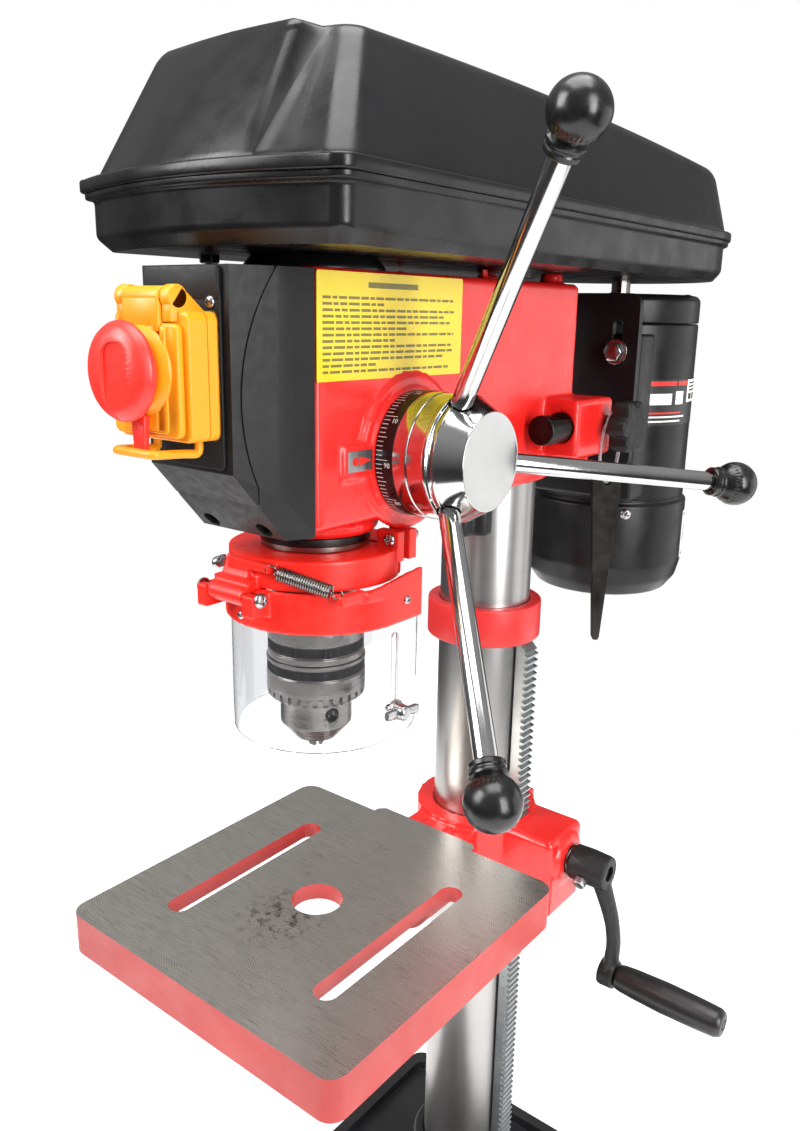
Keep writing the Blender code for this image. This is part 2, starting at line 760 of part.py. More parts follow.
def pulley(name, steps, y, bore):
    """A stepped pulley with one V groove in each step, the first step lowest."""
    profile = [(bore, PULLEY_BOTTOM)]
    for i, radius in enumerate(steps):
        low = PULLEY_BOTTOM + i * STEP_HEIGHT
        middle = low + STEP_HEIGHT / 2
        profile += [(radius, low), (radius - GROOVE_DEPTH, middle - 2)]
        profile += [(radius - GROOVE_DEPTH, middle + 2), (radius, low + STEP_HEIGHT)]
    profile.append((bore, PULLEY_BOTTOM + STEP_HEIGHT * len(steps)))
    made = turn(name, profile, "cast_alloy", centre=(0, y, 0), sides=14)
    return pivot(made, (0, y, PULLEY_BOTTOM))


def belt(name, near, near_y, far, far_y, step):
    """A flat loop in the grooves of two pulleys at one step."""
    height = PULLEY_BOTTOM + (step + 0.5) * STEP_HEIGHT
    distance = far_y - near_y

    def loop(extra):
        first = near - GROOVE_DEPTH + BELT_GAP + extra
        second = far - GROOVE_DEPTH + BELT_GAP + extra
        lean = math.asin((first - second) / distance)
        points = []
        for i in range(13):
            angle = lean + (math.pi - 2 * lean) * i / 12
            points.append((second * math.cos(angle), far_y + second * math.sin(angle)))
        for i in range(13):
            angle = math.pi - lean + (math.pi + 2 * lean) * i / 12
            points.append((first * math.cos(angle), near_y + first * math.sin(angle)))
        return points

    outer = prism(name, loop(BELT_THICKNESS), "Z", height - 1.7, height + 1.7, "rubber")
    inner = prism(f"{name}_inside", loop(0), "Z", height - 9, height + 9, "rubber")
    return cut(outer, inner)


def make_drive():
    pulley("spindle_pulley", SPINDLE_STEPS, SPINDLE_Y, 9.3)
    pulley("idler_pulley", IDLER_STEPS, IDLER_Y, 6.3)
    pulley("motor_pulley", MOTOR_STEPS, MOTOR_Y, 7.3)
    belt("front_belt", SPINDLE_STEPS[1], SPINDLE_Y, IDLER_STEPS[1], IDLER_Y, 1)
    belt("rear_belt", IDLER_STEPS[2], IDLER_Y, MOTOR_STEPS[2], MOTOR_Y, 2)
    low = PAN_BOTTOM + 3 + GAP
    arm = rod("idler_arm", 11, (*ARM_PIVOT, low), (*ARM_PIVOT, PULLEY_BOTTOM - GAP), "dark_steel")
    eye = rod("idler_arm_eye", 11, (0, IDLER_Y, low), (0, IDLER_Y, PULLEY_BOTTOM - GAP))
    away = (Vector((*ARM_PIVOT, 0)) - Vector((0, IDLER_Y, 0))).normalized()
    side = Vector((-away.y, away.x, 0)) * 8
    ends = [Vector((0, IDLER_Y, 0)) + side, Vector((*ARM_PIVOT, 0)) + side]
    ends += [Vector((*ARM_PIVOT, 0)) - side, Vector((0, IDLER_Y, 0)) - side]
    low, high = PAN_BOTTOM + 3.5, PULLEY_BOTTOM - 0.5
    bar = prism("idler_arm_bar", [(e.x, e.y) for e in ends], "Z", low, high, "steel")
    pin = rod("idler_arm_pin", 6, (*ARM_PIVOT, 714), (*ARM_PIVOT, 725), sides=12)
    axle = rod("idler_arm_axle", 6, (0, IDLER_Y, 725), (0, IDLER_Y, 776), sides=12)
    join(arm, eye, bar, pin, axle)
    pivot(arm, (*ARM_PIVOT, PAN_BOTTOM))


# ---------------------------------------------------------------- motor

def make_motor():
    body = [
        (0, MOTOR_BOTTOM),
        (44, MOTOR_BOTTOM),
        (54, MOTOR_BOTTOM + 4),
        (60, MOTOR_BOTTOM + 12),
        (61.5, MOTOR_BOTTOM + 24),
        (61.5, 558),
        (MOTOR_RADIUS, 560),
        (MOTOR_RADIUS, MOTOR_SEAM),
        (0, MOTOR_SEAM),
    ]
    motor = turn("motor_body", body, "black_paint", centre=(0, MOTOR_Y, 0), sides=24)
    pad = block("motor_pad", (-51, PLATE_BACK + GAP, 566), (51, 128, 682), "steel", 1.5)
    hollow = rod("motor_hollow", 51, (0, MOTOR_Y, MOTOR_BOTTOM + 10), (0, MOTOR_Y, 700), sides=24)
    join(motor, pad)
    cut(motor, hollow)
    cap = [
        (8, MOTOR_SEAM + 5),
        (50, MOTOR_SEAM + 3),
        (50, MOTOR_SEAM + GAP),
        (MOTOR_RADIUS, MOTOR_SEAM + GAP),
        (MOTOR_RADIUS, MOTOR_TOP - 5),
        (57, MOTOR_TOP - 1.5),
        (52, MOTOR_TOP),
        (8, MOTOR_TOP),
    ]
    turn("motor_cap", cap, "black_paint", centre=(0, MOTOR_Y, 0), sides=24)
    terminal = block("terminal_box", (30, -21, 618), (71, 21, 680), "black_plastic", 2.0)
    terminal.data.transform(Matrix.Rotation(math.radians(90), 4, "Z"))
    terminal.data.transform(Matrix.Translation((0, MOTOR_Y * MM, 0)))
    cut(terminal, rod("terminal_seat", MOTOR_RADIUS + GAP, (0, MOTOR_Y, 600), (0, MOTOR_Y, 700), sides=24))
    shaft = [
        (0, MOTOR_BOTTOM + 14),
        (7, MOTOR_BOTTOM + 14),
        (7, 530),
        (30, 532),
        (30, 640),
        (7, 642),
        (7, 776),
        (0, 776),
    ]
    pivot(turn("motor_shaft", shaft, "steel", centre=(0, MOTOR_Y, 0), sides=12), (0, MOTOR_Y, MOTOR_TOP))
    plate = prism(
        "motor_plate",
        [(-51, 590), (51, 590), (51, 700), (43, 709), (-43, 709), (-51, 700)],
        "Y",
        PLATE_FRONT,
        PLATE_BACK,
        "black_paint",
    )
    slots = [
        slot_along_z(f"motor_plate_slot_{x}", x, 672, 692, 3.5, PLATE_FRONT - 5, PLATE_BACK + 5)
        for x in (-PLATE_SLOT_X, PLATE_SLOT_X)
    ]
    cut(plate, *slots)
    for name, x in (("slide_bar_right", BAR_X), ("slide_bar_left", -BAR_X)):
        bar = rod(name, BAR_RADIUS, (x, -24.5, BAR_Z), (x, PLATE_FRONT - GAP, BAR_Z), "dark_steel")
        flat = block(f"{name}_flat", (x - 15, -18, BAR_Z + 6.5), (x + 15, -2, BAR_Z + 15), "steel")
        cut(bar, flat)


def slot_along_z(name, centre_x, low_z, high_z, half, front, back):
    outline = rounded_rectangle((centre_x - half, low_z), (centre_x + half, high_z), half * 0.999, 4)
    return prism(name, outline, "Y", front, back, "steel")


def make_tension_knob():
    """A lobed knob on the right lug that clamps the slide bar."""
    y, z = TENSION_KNOB
    outline = [(y + u, z + v) for u, v in lobed_outline(17, 4.5, 6)]
    knob = prism("tension_knob", outline, "X", 70, 82, "black_plastic")
    join(knob, rod("tension_stem", 6, (62.3, y, z), (72, y, z), sides=12))
    return pivot(knob, (62.3, y, z))


def make_drift_key():
    """A flat tapered key, hung on the tension knob's stem for knocking the chuck's taper out."""
    y, z = TENSION_KNOB
    top = 600.0
    point = top - 118
    outline = [(-8.5, top), (8.5, top), (10, top - 3), (2.5, point + 2), (1.5, point), (-1.5, point)]
    outline += [(-2.5, point + 2), (-10, top - 3)]
    key = prism("drift_key", outline, "X", -2.5, 2.5, "dark_steel")
    cut(key, rod("drift_hole", 3, (-10, 0, top - 9), (10, 0, top - 9), sides=12))
    key.data.transform(Matrix.Rotation(math.radians(-52), 4, "Z"))
    key.data.transform(Matrix.Translation((62.5 * MM, (y + 4) * MM, 0)))
    return pivot(key, (62.5, y, z))


# ---------------------------------------------------------------- quill, spindle and chuck

def make_quill():
    profile = [
        (QUILL_BORE, 552),
        (QUILL_RADIUS - 0.5, 552),
        (QUILL_RADIUS, 553),
        (QUILL_RADIUS, 577),
        (28.5, 577),
        (28.5, 583.7),
        (QUILL_RADIUS, 583.7),
        (QUILL_RADIUS, 698),
        (QUILL_BORE, 698),
    ]
    quill = turn("quill", profile, "steel", centre=(0, SPINDLE_Y, 0), sides=24)
    tip = 19.5 + ADDENDUM
    low = FEED_Z - 2.5 * TOOTH_PITCH - TOOTH_PITCH
    edge = rack_teeth(0, tip, low, 20)
    outline = [(SPINDLE_Y + 40, low - 2), (SPINDLE_Y + tip, low - 2)]
    outline += [(SPINDLE_Y + depth, height) for depth, height in edge]
    outline += [(SPINDLE_Y + tip, edge[-1][1] + 2), (SPINDLE_Y + 40, edge[-1][1] + 2)]
    cut(quill, prism("quill_rack_cut", outline, "X", -18, 18, "steel"))
    return pivot(quill, (0, SPINDLE_Y, 552))


def make_spindle():
    profile = [
        (0, 520),
        (10, 520),
        (10, 538),
        (16, 538),
        (16, 551.5),
        (11.7, 551.5),
        (11.7, 700),
        (9, 702),
        (9, 780),
        (0, 780),
    ]
    spindle = turn("spindle", profile, "steel", centre=(0, SPINDLE_Y, 0), sides=16)
    return pivot(spindle, (0, SPINDLE_Y, 538))


def make_chuck():
    body = [
        (CHUCK_MOUTH, CHUCK_NOSE_BOTTOM + 5.4),
        (10.3, CHUCK_NOSE_BOTTOM + 1.4),
        (10.3, CHUCK_NOSE_BOTTOM),
        (11.5, CHUCK_NOSE_BOTTOM),
        (CHUCK_NOSE_RADIUS, CHUCK_NOSE_BOTTOM + 9.4),
        (CHUCK_NOSE_RADIUS, SLEEVE_TOP + GAP),
        (26, SLEEVE_TOP + GAP),
        (26, 521),
        (25, 521.6),
        (25, 524.4),
        (26, 525),
        (26, 533),
        (23, CHUCK_TOP),
        (10.3, CHUCK_TOP),
        (10.3, 519),
        (CHUCK_MOUTH, 512),
    ]
    turned = turn("chuck_body", body, "steel", centre=(0, SPINDLE_Y, 0), sides=20)
    angle, height = KEY_HOLE
    near = (10 * math.cos(angle), SPINDLE_Y + 10 * math.sin(angle), height)
    far = (30 * math.cos(angle), SPINDLE_Y + 30 * math.sin(angle), height)
    pivot(cut(turned, rod("chuck_key_hole", 4, near, far, sides=10)), (0, SPINDLE_Y, SLEEVE_TOP))
    sleeve = [
        (CHUCK_NOSE_RADIUS + GAP, SLEEVE_BOTTOM),
        (24, SLEEVE_BOTTOM),
        (CHUCK_RADIUS, SLEEVE_BOTTOM + 3),
        (CHUCK_RADIUS, 508),
        (25.7, 508.6),
        (25.7, 512.4),
        (CHUCK_RADIUS, 513),
        (CHUCK_RADIUS, SLEEVE_TOP),
        (CHUCK_NOSE_RADIUS + GAP, SLEEVE_TOP),
    ]
    pivot(turn("chuck_sleeve", sleeve, "steel", centre=(0, SPINDLE_Y, 0), sides=20), (0, SPINDLE_Y, 500))
    for number in range(3):
        angle = math.radians(30 + 120 * number)
        out = Vector((math.cos(angle), math.sin(angle), 0))
        across = Vector((-out.y, out.x, 0))
        centre = Vector((0, SPINDLE_Y, 0))
        corners = ((1.2, 0.4), (2.6, 2.9), (6.2, 2.9), (6.2, -2.9), (2.6, -2.9), (1.2, -0.4))
        low = [centre + out * r + across * s for r, s in corners]
        bevelled = [centre + out * (1.2 + (r - 1.2) * 0.45) + across * s * 0.6 for r, s in corners]
        rings = [
            [(p.x, p.y, JAW_BOTTOM) for p in bevelled],
            [(p.x, p.y, JAW_BOTTOM + 6) for p in low],
            [(p.x, p.y, JAW_BOTTOM + 36.5) for p in low],
        ]
        jaw = loft(f"jaw_{number + 1}", rings, "dark_steel")
        pivot(jaw, (0, SPINDLE_Y, JAW_BOTTOM))


# ---------------------------------------------------------------- chuck guard

def guard_plan(radius, arm_end):
    """A U in plan: a half circle in front of the spindle and two straight arms to the back."""
    points = [(radius, arm_end)]
    for i in range(13):
        angle = -math.pi * i / 12
        points.append((radius * math.cos(angle), GUARD_CENTRE + radius * math.sin(angle)))
    points.append((-radius, arm_end))
    return points


def u_wall(name, inner, outer, bottom, top, kind):
    wall = prism(name, guard_plan(outer, GUARD_ARM_END), "Z", bottom, top, kind)
    plan = guard_plan(inner, GUARD_ARM_END + 10)
    return cut(wall, prism(f"{name}_inside", plan, "Z", bottom - 9, top + 9, kind))


def make_guard_collar():
    bottom, top = (0, SPINDLE_Y, COLLAR_BOTTOM), (0, SPINDLE_Y, COLLAR_TOP)
    collar = rod("guard_collar", 45, bottom, top, "red_plastic", 24)
    lug = block("collar_lug", (HINGE_LEFT, GUARD_PIVOT_Y, 553), (HINGE_RIGHT, -205, 566), "steel")
    pivot_spot = (GUARD_PIVOT_Y, GUARD_PIVOT_Z)
    knuckle = rod("collar_knuckle", 5, (HINGE_LEFT, *pivot_spot), (HINGE_RIGHT, *pivot_spot))
    pin = rod("collar_pin", 2.5, (HINGE_LEFT - 9, *pivot_spot), (HINGE_RIGHT + 10, *pivot_spot), sides=10)
    ears = [block(f"collar_ear_{y}", (31, y, 570), (45, y + 6, 586), "steel") for y in (-153.5, -143.5)]
    join(collar, lug, knuckle, pin, *ears)
    slit = block("collar_slit", (10, -147.5, 540), (60, -143.5, 600), "steel")
    bore = rod("collar_bore", QUILL_RADIUS + GAP, (0, SPINDLE_Y, 540), (0, SPINDLE_Y, 600), sides=24)
    cut(collar, slit, bore)
    return collar


def make_guard_band():
    band = u_wall("guard_band", GUARD_INNER, GUARD_OUTER, GUARD_BOTTOM, GUARD_TOP, "red_plastic")
    low, high = HINGE_LEFT - 0.4, HINGE_RIGHT + 0.4
    ears = [
        block("band_ear_left", (low - 7, -223, 549), (low, -205, GUARD_TOP - 0.5), "steel"),
        block("band_ear_right", (high, -223, 549), (high + 8, -207, GUARD_TOP - 0.5), "steel"),
    ]
    join(band, *ears)
    notch = block("band_notch", (low, -240, 549.5), (high, -200, 600), "steel")
    pivot_spot = (GUARD_PIVOT_Y, GUARD_PIVOT_Z)
    bore = rod("band_bore", 2.8, (-40, *pivot_spot), (40, *pivot_spot), sides=10)
    cut(band, notch, bore)
    return pivot(band, (0, GUARD_PIVOT_Y, GUARD_PIVOT_Z))


def make_guard_spring():
    """A tension spring's envelope across the collar's front, from its left side to its right."""
    start = Vector((12.9, -214.3, 573.2))
    end = Vector((46.5, -197.5, 562.8))
    spring = rod("guard_spring", 3.2, start, end, "zinc", 12)
    return pivot(spring, start)


def make_shield():
    shield = u_wall("shield", SHIELD_INNER, SHIELD_OUTER, SHIELD_BOTTOM, SHIELD_TOP, "clear")
    notch = block("shield_notch", (HINGE_LEFT - 9, -240, 547), (HINGE_RIGHT + 10, -200, 600), "steel")
    y = WING_NUT[0]
    outline = rounded_rectangle((y - 2.4, 488), (y + 2.4, 534), 2.39, 3)
    long_slot = prism("shield_slot", outline, "X", 40, 60, "steel")
    cut(shield, notch, long_slot)
    return pivot(shield, (0, GUARD_PIVOT_Y, SHIELD_BOTTOM))


def make_wing_nut():
    """A wing nut that clamps the shield's slot, its screw through the slot."""
    y, z = WING_NUT
    seat = SHIELD_OUTER + 0.4
    profile = [(0, 0), (4.5, 0), (3.6, 7), (0, 7)]
    nut = turn("wing_nut", profile, "zinc", axis=(1, 0, 0), centre=(seat, y, z), sides=12)
    wing = ((2, -2), (10, -4), (13, 4), (8, 5), (2, 3))
    wings = []
    for side in (-1, 1):
        outline = [(y + side * across, z + rise) for across, rise in wing]
        wings.append(prism(f"wing_{side}", outline, "X", seat + 3, seat + 6, "steel"))
    join(nut, *wings, rod("wing_screw", 2, (seat - 6, y, z), (seat + 4, y, z), sides=10))
    return pivot(nut, (seat, y, z))


# ---------------------------------------------------------------- quill feed

def make_feed():
    turned = math.pi / PINION_TEETH
    outline = [(FEED_Y + u, FEED_Z + v) for u, v in gear_outline(PINION_TEETH, turned)]
    shaft = prism("feed_shaft", outline, "X", -16, 16, "steel")
    join(shaft, rod("feed_shaft_bar", 8, (-48, FEED_Y, FEED_Z), (41.7, FEED_Y, FEED_Z)))
    pivot(shaft, (0, FEED_Y, FEED_Z))

    centre = (0, FEED_Y, FEED_Z)
    dial = [
        (24, 41.3),
        (DIAL_RADIUS, 41.3),
        (DIAL_RADIUS, 58),
        (31, 59.9),
        (24, 59.9),
    ]
    pivot(turn("dial_ring", dial, "black_paint", (1, 0, 0), centre, 24), (50, FEED_Y, FEED_Z))

    hub = [
        (0, 42.2),
        (23.6, 42.2),
        (23.6, HUB_START),
        (HUB_RADIUS, HUB_START),
        (HUB_RADIUS, 69),
        (28.8, 70),
        (28.8, 72),
        (HUB_RADIUS - 0.5, 73),
        (26, 82),
        (HUB_FACE_RADIUS, HUB_FACE - 1),
        (HUB_FACE_RADIUS - 1, HUB_FACE),
        (0, HUB_FACE),
    ]
    feed_hub = turn("feed_hub", hub, "chrome", (1, 0, 0), centre, 24)
    for number in range(3):
        angle = FIRST_ROD_ANGLE + number * 2 * math.pi / 3
        out = Vector((0, math.sin(angle), math.cos(angle)))
        root = Vector((ROD_ROOT[0], FEED_Y, FEED_Z)) + out * ROD_ROOT[1]
        tip = Vector((ROD_TIP[0], FEED_Y, FEED_Z)) + out * ROD_TIP[1]
        along = (tip - root).normalized()
        socket = rod(f"hub_socket_{number}", ROD_RADIUS + GAP, root, root + along * 60, sides=12)
        cut(feed_hub, socket)
        start = root + along * GAP
        end = tip - along * (KNOB_RADIUS - 6)
        bar = rod(f"handle_rod_{number + 1}", ROD_RADIUS, start, end, "chrome", 12)
        pivot(bar, (ROD_ROOT[0], FEED_Y, FEED_Z))
        make_knob(f"handle_knob_{number + 1}", tip, along, end)
    pivot(feed_hub, (HUB_FACE, FEED_Y, FEED_Z))


def make_knob(name, centre, along, rod_end):
    """A ball with a short collar, bored for its rod."""
    profile = [(0, KNOB_RADIUS)]
    for i in range(1, 6):
        angle = math.radians(90 - 26 * i)
        profile.append((KNOB_RADIUS * math.cos(angle), KNOB_RADIUS * math.sin(angle)))
    profile += [(8.2, -KNOB_RADIUS + 1), (7.6, -KNOB_RADIUS - 5), (0, -KNOB_RADIUS - 5)]
    knob = turn(name, profile, "black_knob", along, centre, 12)
    cut(knob, rod(f"{name}_bore", ROD_RADIUS + GAP, centre - along * 40, rod_end + along * GAP, sides=12))
    return pivot(knob, centre)


def make_return_spring_housing():
    profile = [(0, 54), (22, 54), (26, 51), (26, 38.8), (9, 38.8), (9, 48.6), (0, 48.6)]
    return turn("return_spring_housing", profile, "black_paint", (-1, 0, 0), (0, FEED_Y, FEED_Z), 32)


# ---------------------------------------------------------------- table, bracket and lift

def make_table_bracket():
    bottom, top = BRACKET_BOTTOM, BRACKET_TOP
    bracket = rod("table_bracket", BRACKET_RADIUS, (0, 0, bottom), (0, 0, top), "red_paint", 24)
    gearbox = block("bracket_gearbox", (20, -22, bottom + 1), (74, 22, top - 1), "steel", 3.0)
    neck = block("bracket_neck", (-24, -50, 306), (24, -34, 356), "steel")
    disc = rod("bracket_disc", 28, (0, TABLE_TONGUE_BACK + GAP, TILT_Z), (0, -46, TILT_Z), sides=20)
    stud = rod("bracket_stud", 8, (0, -78, TILT_Z), (0, -48, TILT_Z), sides=12)
    clamp = block("bracket_clamp", (-15, 25, 312), (15, 58, 348), "steel")
    boss = rod("bracket_shaft_boss", 15, (60, 0, CRANK_Z), (78, 0, CRANK_Z))
    join(bracket, gearbox, neck, disc, stud, clamp, boss)
    bore = rod("bracket_bore", COLUMN_RADIUS + GAP, (0, 0, 200), (0, 0, 400), sides=24)
    slit = block("bracket_slit", (-3.3, 22, 250), (3.3, 71, 390), "steel")
    rack_way = block("bracket_rack_way", (24, -7.4, 200), (RACK_TIP + 0.5, 7.4, 400), "steel")
    gear_room = block("bracket_gear_room", (37, -11, 302.5), (66, 11, 334), "steel")
    axle_ends = [(LIFT_GEAR_X, y, LIFT_GEAR_Z) for y in (-40, 40)]
    gear_bore = rod("bracket_gear_bore", 5.3, *axle_ends, sides=12)
    shaft_bore = rod("bracket_shaft_bore", 9.3, (34, 0, CRANK_Z), (90, 0, CRANK_Z))
    lever_bore = rod("bracket_lever_bore", 5.3, (-40, 48, 330), (40, 48, 330), sides=12)
    join(bore, slit, rack_way, gear_room, gear_bore, shaft_bore, lever_bore)
    cut(bracket, bore)
    # the exact solver leaves open edges where these bores cross
    for step in [*bracket.modifiers, *bore.modifiers]:
        step.solver = "MANIFOLD"
    return pivot(bracket, (0, 0, BRACKET_BOTTOM))


def make_lift_gear():
    outline = [(LIFT_GEAR_X + u, LIFT_GEAR_Z + v) for u, v in gear_outline(PINION_TEETH, 0.0)]
    gear = prism("lift_gear", outline, "Y", -10, 10, "steel")
    left, right = (LIFT_GEAR_X, -22, LIFT_GEAR_Z), (LIFT_GEAR_X, 22, LIFT_GEAR_Z)
    join(gear, rod("lift_gear_axle", 5, left, right, sides=12))
    return pivot(gear, (LIFT_GEAR_X, 0, LIFT_GEAR_Z))


def make_crank():
    """The worm shaft, the cast arm that hangs from it, and the turning grip."""
    profile = [(0, 41), (6, 41), (7.5, 43), (7.5, 58), (9, 58.5), (9, 79), (7, 79.5), (7, 104), (0, 104)]
    shaft = turn("crank_shaft", profile, "steel", (1, 0, 0), (0, 0, CRANK_Z), 20)
    pivot(shaft, (78, 0, CRANK_Z))

    grip_z = CRANK_Z - CRANK_DROP
    arm = rod("crank_arm", 12, (80, 0, CRANK_Z), (106, 0, CRANK_Z), "black_paint", 24)
    path = [(97, CRANK_Z), (102, CRANK_Z - 16), (104, CRANK_Z - 36), (107, CRANK_Z - 54), (110, grip_z)]
    for i, ((x0, z0), (x1, z1)) in enumerate(zip(path, path[1:])):
        width = 9 - i * 0.6
        rings = []
        for x, z in ((x0, z0 + 2), (x1, z1 - 2)):
            rings.append([(x - 5, -width, z), (x + 5, -width, z), (x + 5, width, z), (x - 5, width, z)])
        join(arm, loft(f"crank_web_{i}", rings, "steel"))
    join(arm, rod("crank_eye", 10, (104, 0, grip_z), (117, 0, grip_z), sides=12))
    bores = [
        rod("crank_shaft_bore", 7.3, (70, 0, CRANK_Z), (104.6, 0, CRANK_Z), sides=12),
        rod("crank_spindle_bore", 4.3, (100, 0, grip_z), (120, 0, grip_z), sides=12),
    ]
    cut(arm, *bores)
    pivot(arm, (80, 0, CRANK_Z))

    pin = [(0, 105), (4, 105), (4, 117.5)]
    handle = [(8.5, 118), (9.5, 124), (10, 150), (9.5, 184), (8, 189), (0, 190)]
    grip = turn("crank_grip", pin + handle, "black_plastic", (1, 0, 0), (0, 0, grip_z), 20)
    pivot(grip, (110, 0, grip_z))


def make_table():
    plan = rounded_rectangle((-TABLE_HALF_WIDTH, TABLE_FRONT), (TABLE_HALF_WIDTH, TABLE_BACK), 10)
    table = prism("table", plan, "Z", TABLE_TOP - TABLE_SKIRT, TABLE_TOP, "cast_alloy")
    wall = 8
    low = (-TABLE_HALF_WIDTH + wall, TABLE_FRONT + wall)
    high = (TABLE_HALF_WIDTH - wall, TABLE_BACK - wall)
    inner = rounded_rectangle(low, high, 6)
    underside = prism("table_underside", inner, "Z", 300, TABLE_TOP - TABLE_PLATE, "steel")
    cut(table, underside)
    tongue = block("table_tongue", (-40, -90, TABLE_TOP - 22), (40, TABLE_TONGUE_BACK, TABLE_TOP), "steel")
    disc = rod("table_disc", 28, (0, -92, TILT_Z), (0, TABLE_TONGUE_BACK, TILT_Z), sides=20)
    ribs = []
    for x in (-34, 34):
        low, high = (x - 3, -250, TABLE_TOP - 20), (x + 3, -80, TABLE_TOP - 5)
        ribs.append(block(f"table_rib_{x}", low, high, "steel"))
    join(table, tongue, disc, *ribs)
    hole = rod("table_hole", TABLE_HOLE, (0, SPINDLE_Y, 300), (0, SPINDLE_Y, 400), sides=20)
    slots = []
    for side in (-1, 1):
        slots.append(slot(f"table_slot_{side}", side * SLOT_X, SLOT_FRONT, SLOT_BACK, SLOT_HALF, 300, 400))
    stud_bore = rod("table_stud_bore", 8.3, (0, -79, TILT_Z), (0, -50, TILT_Z), sides=12)
    cut(table, hole, *slots, stud_bore)
    return pivot(table, (0, TABLE_TONGUE_BACK, TILT_Z))


def make_table_lock_lever():
    """A ball-ended lever whose screw pulls the bracket's two clamp ears together."""
    lever = rod("table_lock_lever", 5, (-38, 48, 330), (16, 48, 330), "steel", 16)
    head = rod("lever_head", 9, (-36, 48, 330), (-15.4, 48, 330), sides=12)
    handle = rod("lever_handle", 4.5, (-26, 48, 330), (-44, 48, 282), sides=12)
    profile = [(0, -10), (6, -8), (9.3, -3), (9.3, 3), (6, 8), (0, 10)]
    ball = turn("lever_ball", profile, "steel", centre=(-45, 48, 276), sides=12)
    join(lever, head, handle, ball)
    return pivot(lever, (-15, 48, 330))


def main():
    for old in list(bpy.data.objects):
        bpy.data.objects.remove(old, do_unlink=True)
    make_base()
    make_column_flange()
    make_column()
    make_rack()
    make_rack_collar()
    make_head_casting()
    make_depth_lock_knob()
    make_front_cover()
    make_switch_plate()
    make_switch_box()
    make_buttons()
    make_switch_lid()
    make_stop_button()
    make_belt_pan()
    make_belt_lid()
    make_drive()
    make_motor()
    make_tension_knob()
    make_drift_key()
    make_quill()
    make_spindle()
    make_chuck()
    make_guard_collar()
    make_guard_band()
    make_guard_spring()
    make_shield()
    make_wing_nut()
    make_feed()
    make_return_spring_housing()
    make_table_bracket()
    make_lift_gear()
    make_crank()
    make_table()
    make_table_lock_lever()


main()
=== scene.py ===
"""Looks of a bench drill press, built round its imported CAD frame.
"""

import math

import bmesh
import bpy
from mathutils import Matrix, Vector, noise


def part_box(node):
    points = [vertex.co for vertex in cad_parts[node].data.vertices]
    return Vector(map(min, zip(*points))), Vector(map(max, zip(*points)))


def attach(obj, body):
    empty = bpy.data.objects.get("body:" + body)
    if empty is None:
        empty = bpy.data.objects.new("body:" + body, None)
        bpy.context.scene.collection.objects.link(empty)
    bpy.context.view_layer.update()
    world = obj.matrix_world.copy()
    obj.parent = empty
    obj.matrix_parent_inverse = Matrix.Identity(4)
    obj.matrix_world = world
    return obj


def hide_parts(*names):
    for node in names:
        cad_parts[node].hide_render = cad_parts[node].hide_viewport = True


MM = 0.001
SHARP = 32    # degrees between faces from which an edge shades as sharp

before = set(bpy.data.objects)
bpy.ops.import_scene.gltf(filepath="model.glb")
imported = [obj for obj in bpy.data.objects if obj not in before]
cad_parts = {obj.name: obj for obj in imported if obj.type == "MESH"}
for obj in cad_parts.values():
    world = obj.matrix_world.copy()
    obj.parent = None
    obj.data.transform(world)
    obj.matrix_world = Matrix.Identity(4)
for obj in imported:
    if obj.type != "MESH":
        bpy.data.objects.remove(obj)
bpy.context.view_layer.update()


def span(node):
    """Lowest and highest corner of a CAD node, in millimetres."""
    low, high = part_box(node)
    return low / MM, high / MM


def middle(node):
    """Centre of a CAD node's box, in millimetres."""
    low, high = span(node)
    return (low + high) / 2


# ---------------------------------------------------------------- places read from the frame

COLUMN_LOW, COLUMN_HIGH = span("column")
COLUMN_R = COLUMN_HIGH.x
COVER_LOW, COVER_HIGH = span("front_cover")
CHEEK = COVER_HIGH.x
SPINDLE_Y = middle("quill").y
SPINDLE = (0, SPINDLE_Y, 0)
QUILL_LOW, QUILL_HIGH = span("quill")
FEED_Y = middle("dial_ring").y
FEED_Z = middle("dial_ring").z
FEED = (0, FEED_Y, FEED_Z)
DIAL_LOW, DIAL_HIGH = span("dial_ring")
DIAL_R = DIAL_HIGH.z - FEED_Z
PAN_LOW, PAN_HIGH = span("belt_pan")
LID_LOW, LID_HIGH = span("belt_lid")
MOTOR_LOW, MOTOR_HIGH = span("motor_body")
MOTOR_Y = middle("motor_pulley").y
MOTOR = (0, MOTOR_Y, 0)
IDLER_Y = middle("idler_pulley").y
TABLE_LOW, TABLE_HIGH = span("table")
PULLEY_LOW = span("spindle_pulley")[0].z
PLATE_BACK = span("motor_plate")[1].y
CRANK_Z = middle("crank_shaft").z
GRIP_Z = middle("crank_grip").z
STOP_Z = middle("stop_button").z
BUTTON_Z = tuple(middle(name).z for name in ("off_button", "start_button"))


# ---------------------------------------------------------------- sizes finer than the frame's

RIGHT, LEFT, FORWARD, UPWARD = (1, 0, 0), (-1, 0, 0), (0, -1, 0), (0, 0, 1)
SIDES = (-1, 1)

# clearance of a bore round the column
FIT = 0.3

# gear teeth of the two racks
MODULE = 1.5
TOOTH_PITCH = math.pi * MODULE
ADDENDUM = 0.8 * MODULE
TOOTH_DEPTH = 1.9 * MODULE

# the front cover's lower slope, and the screws in it
SLOPE_TOP = 624.0
SLOPE_FOOT = Vector((28.5, -216.5, 590.0))
SLOPE_SCREW_X = 18.2

# the switch
SWITCH_CASE_FRONT = span("switch_box")[0].y + 4
LID_PIN = (-266.5, 698.0)

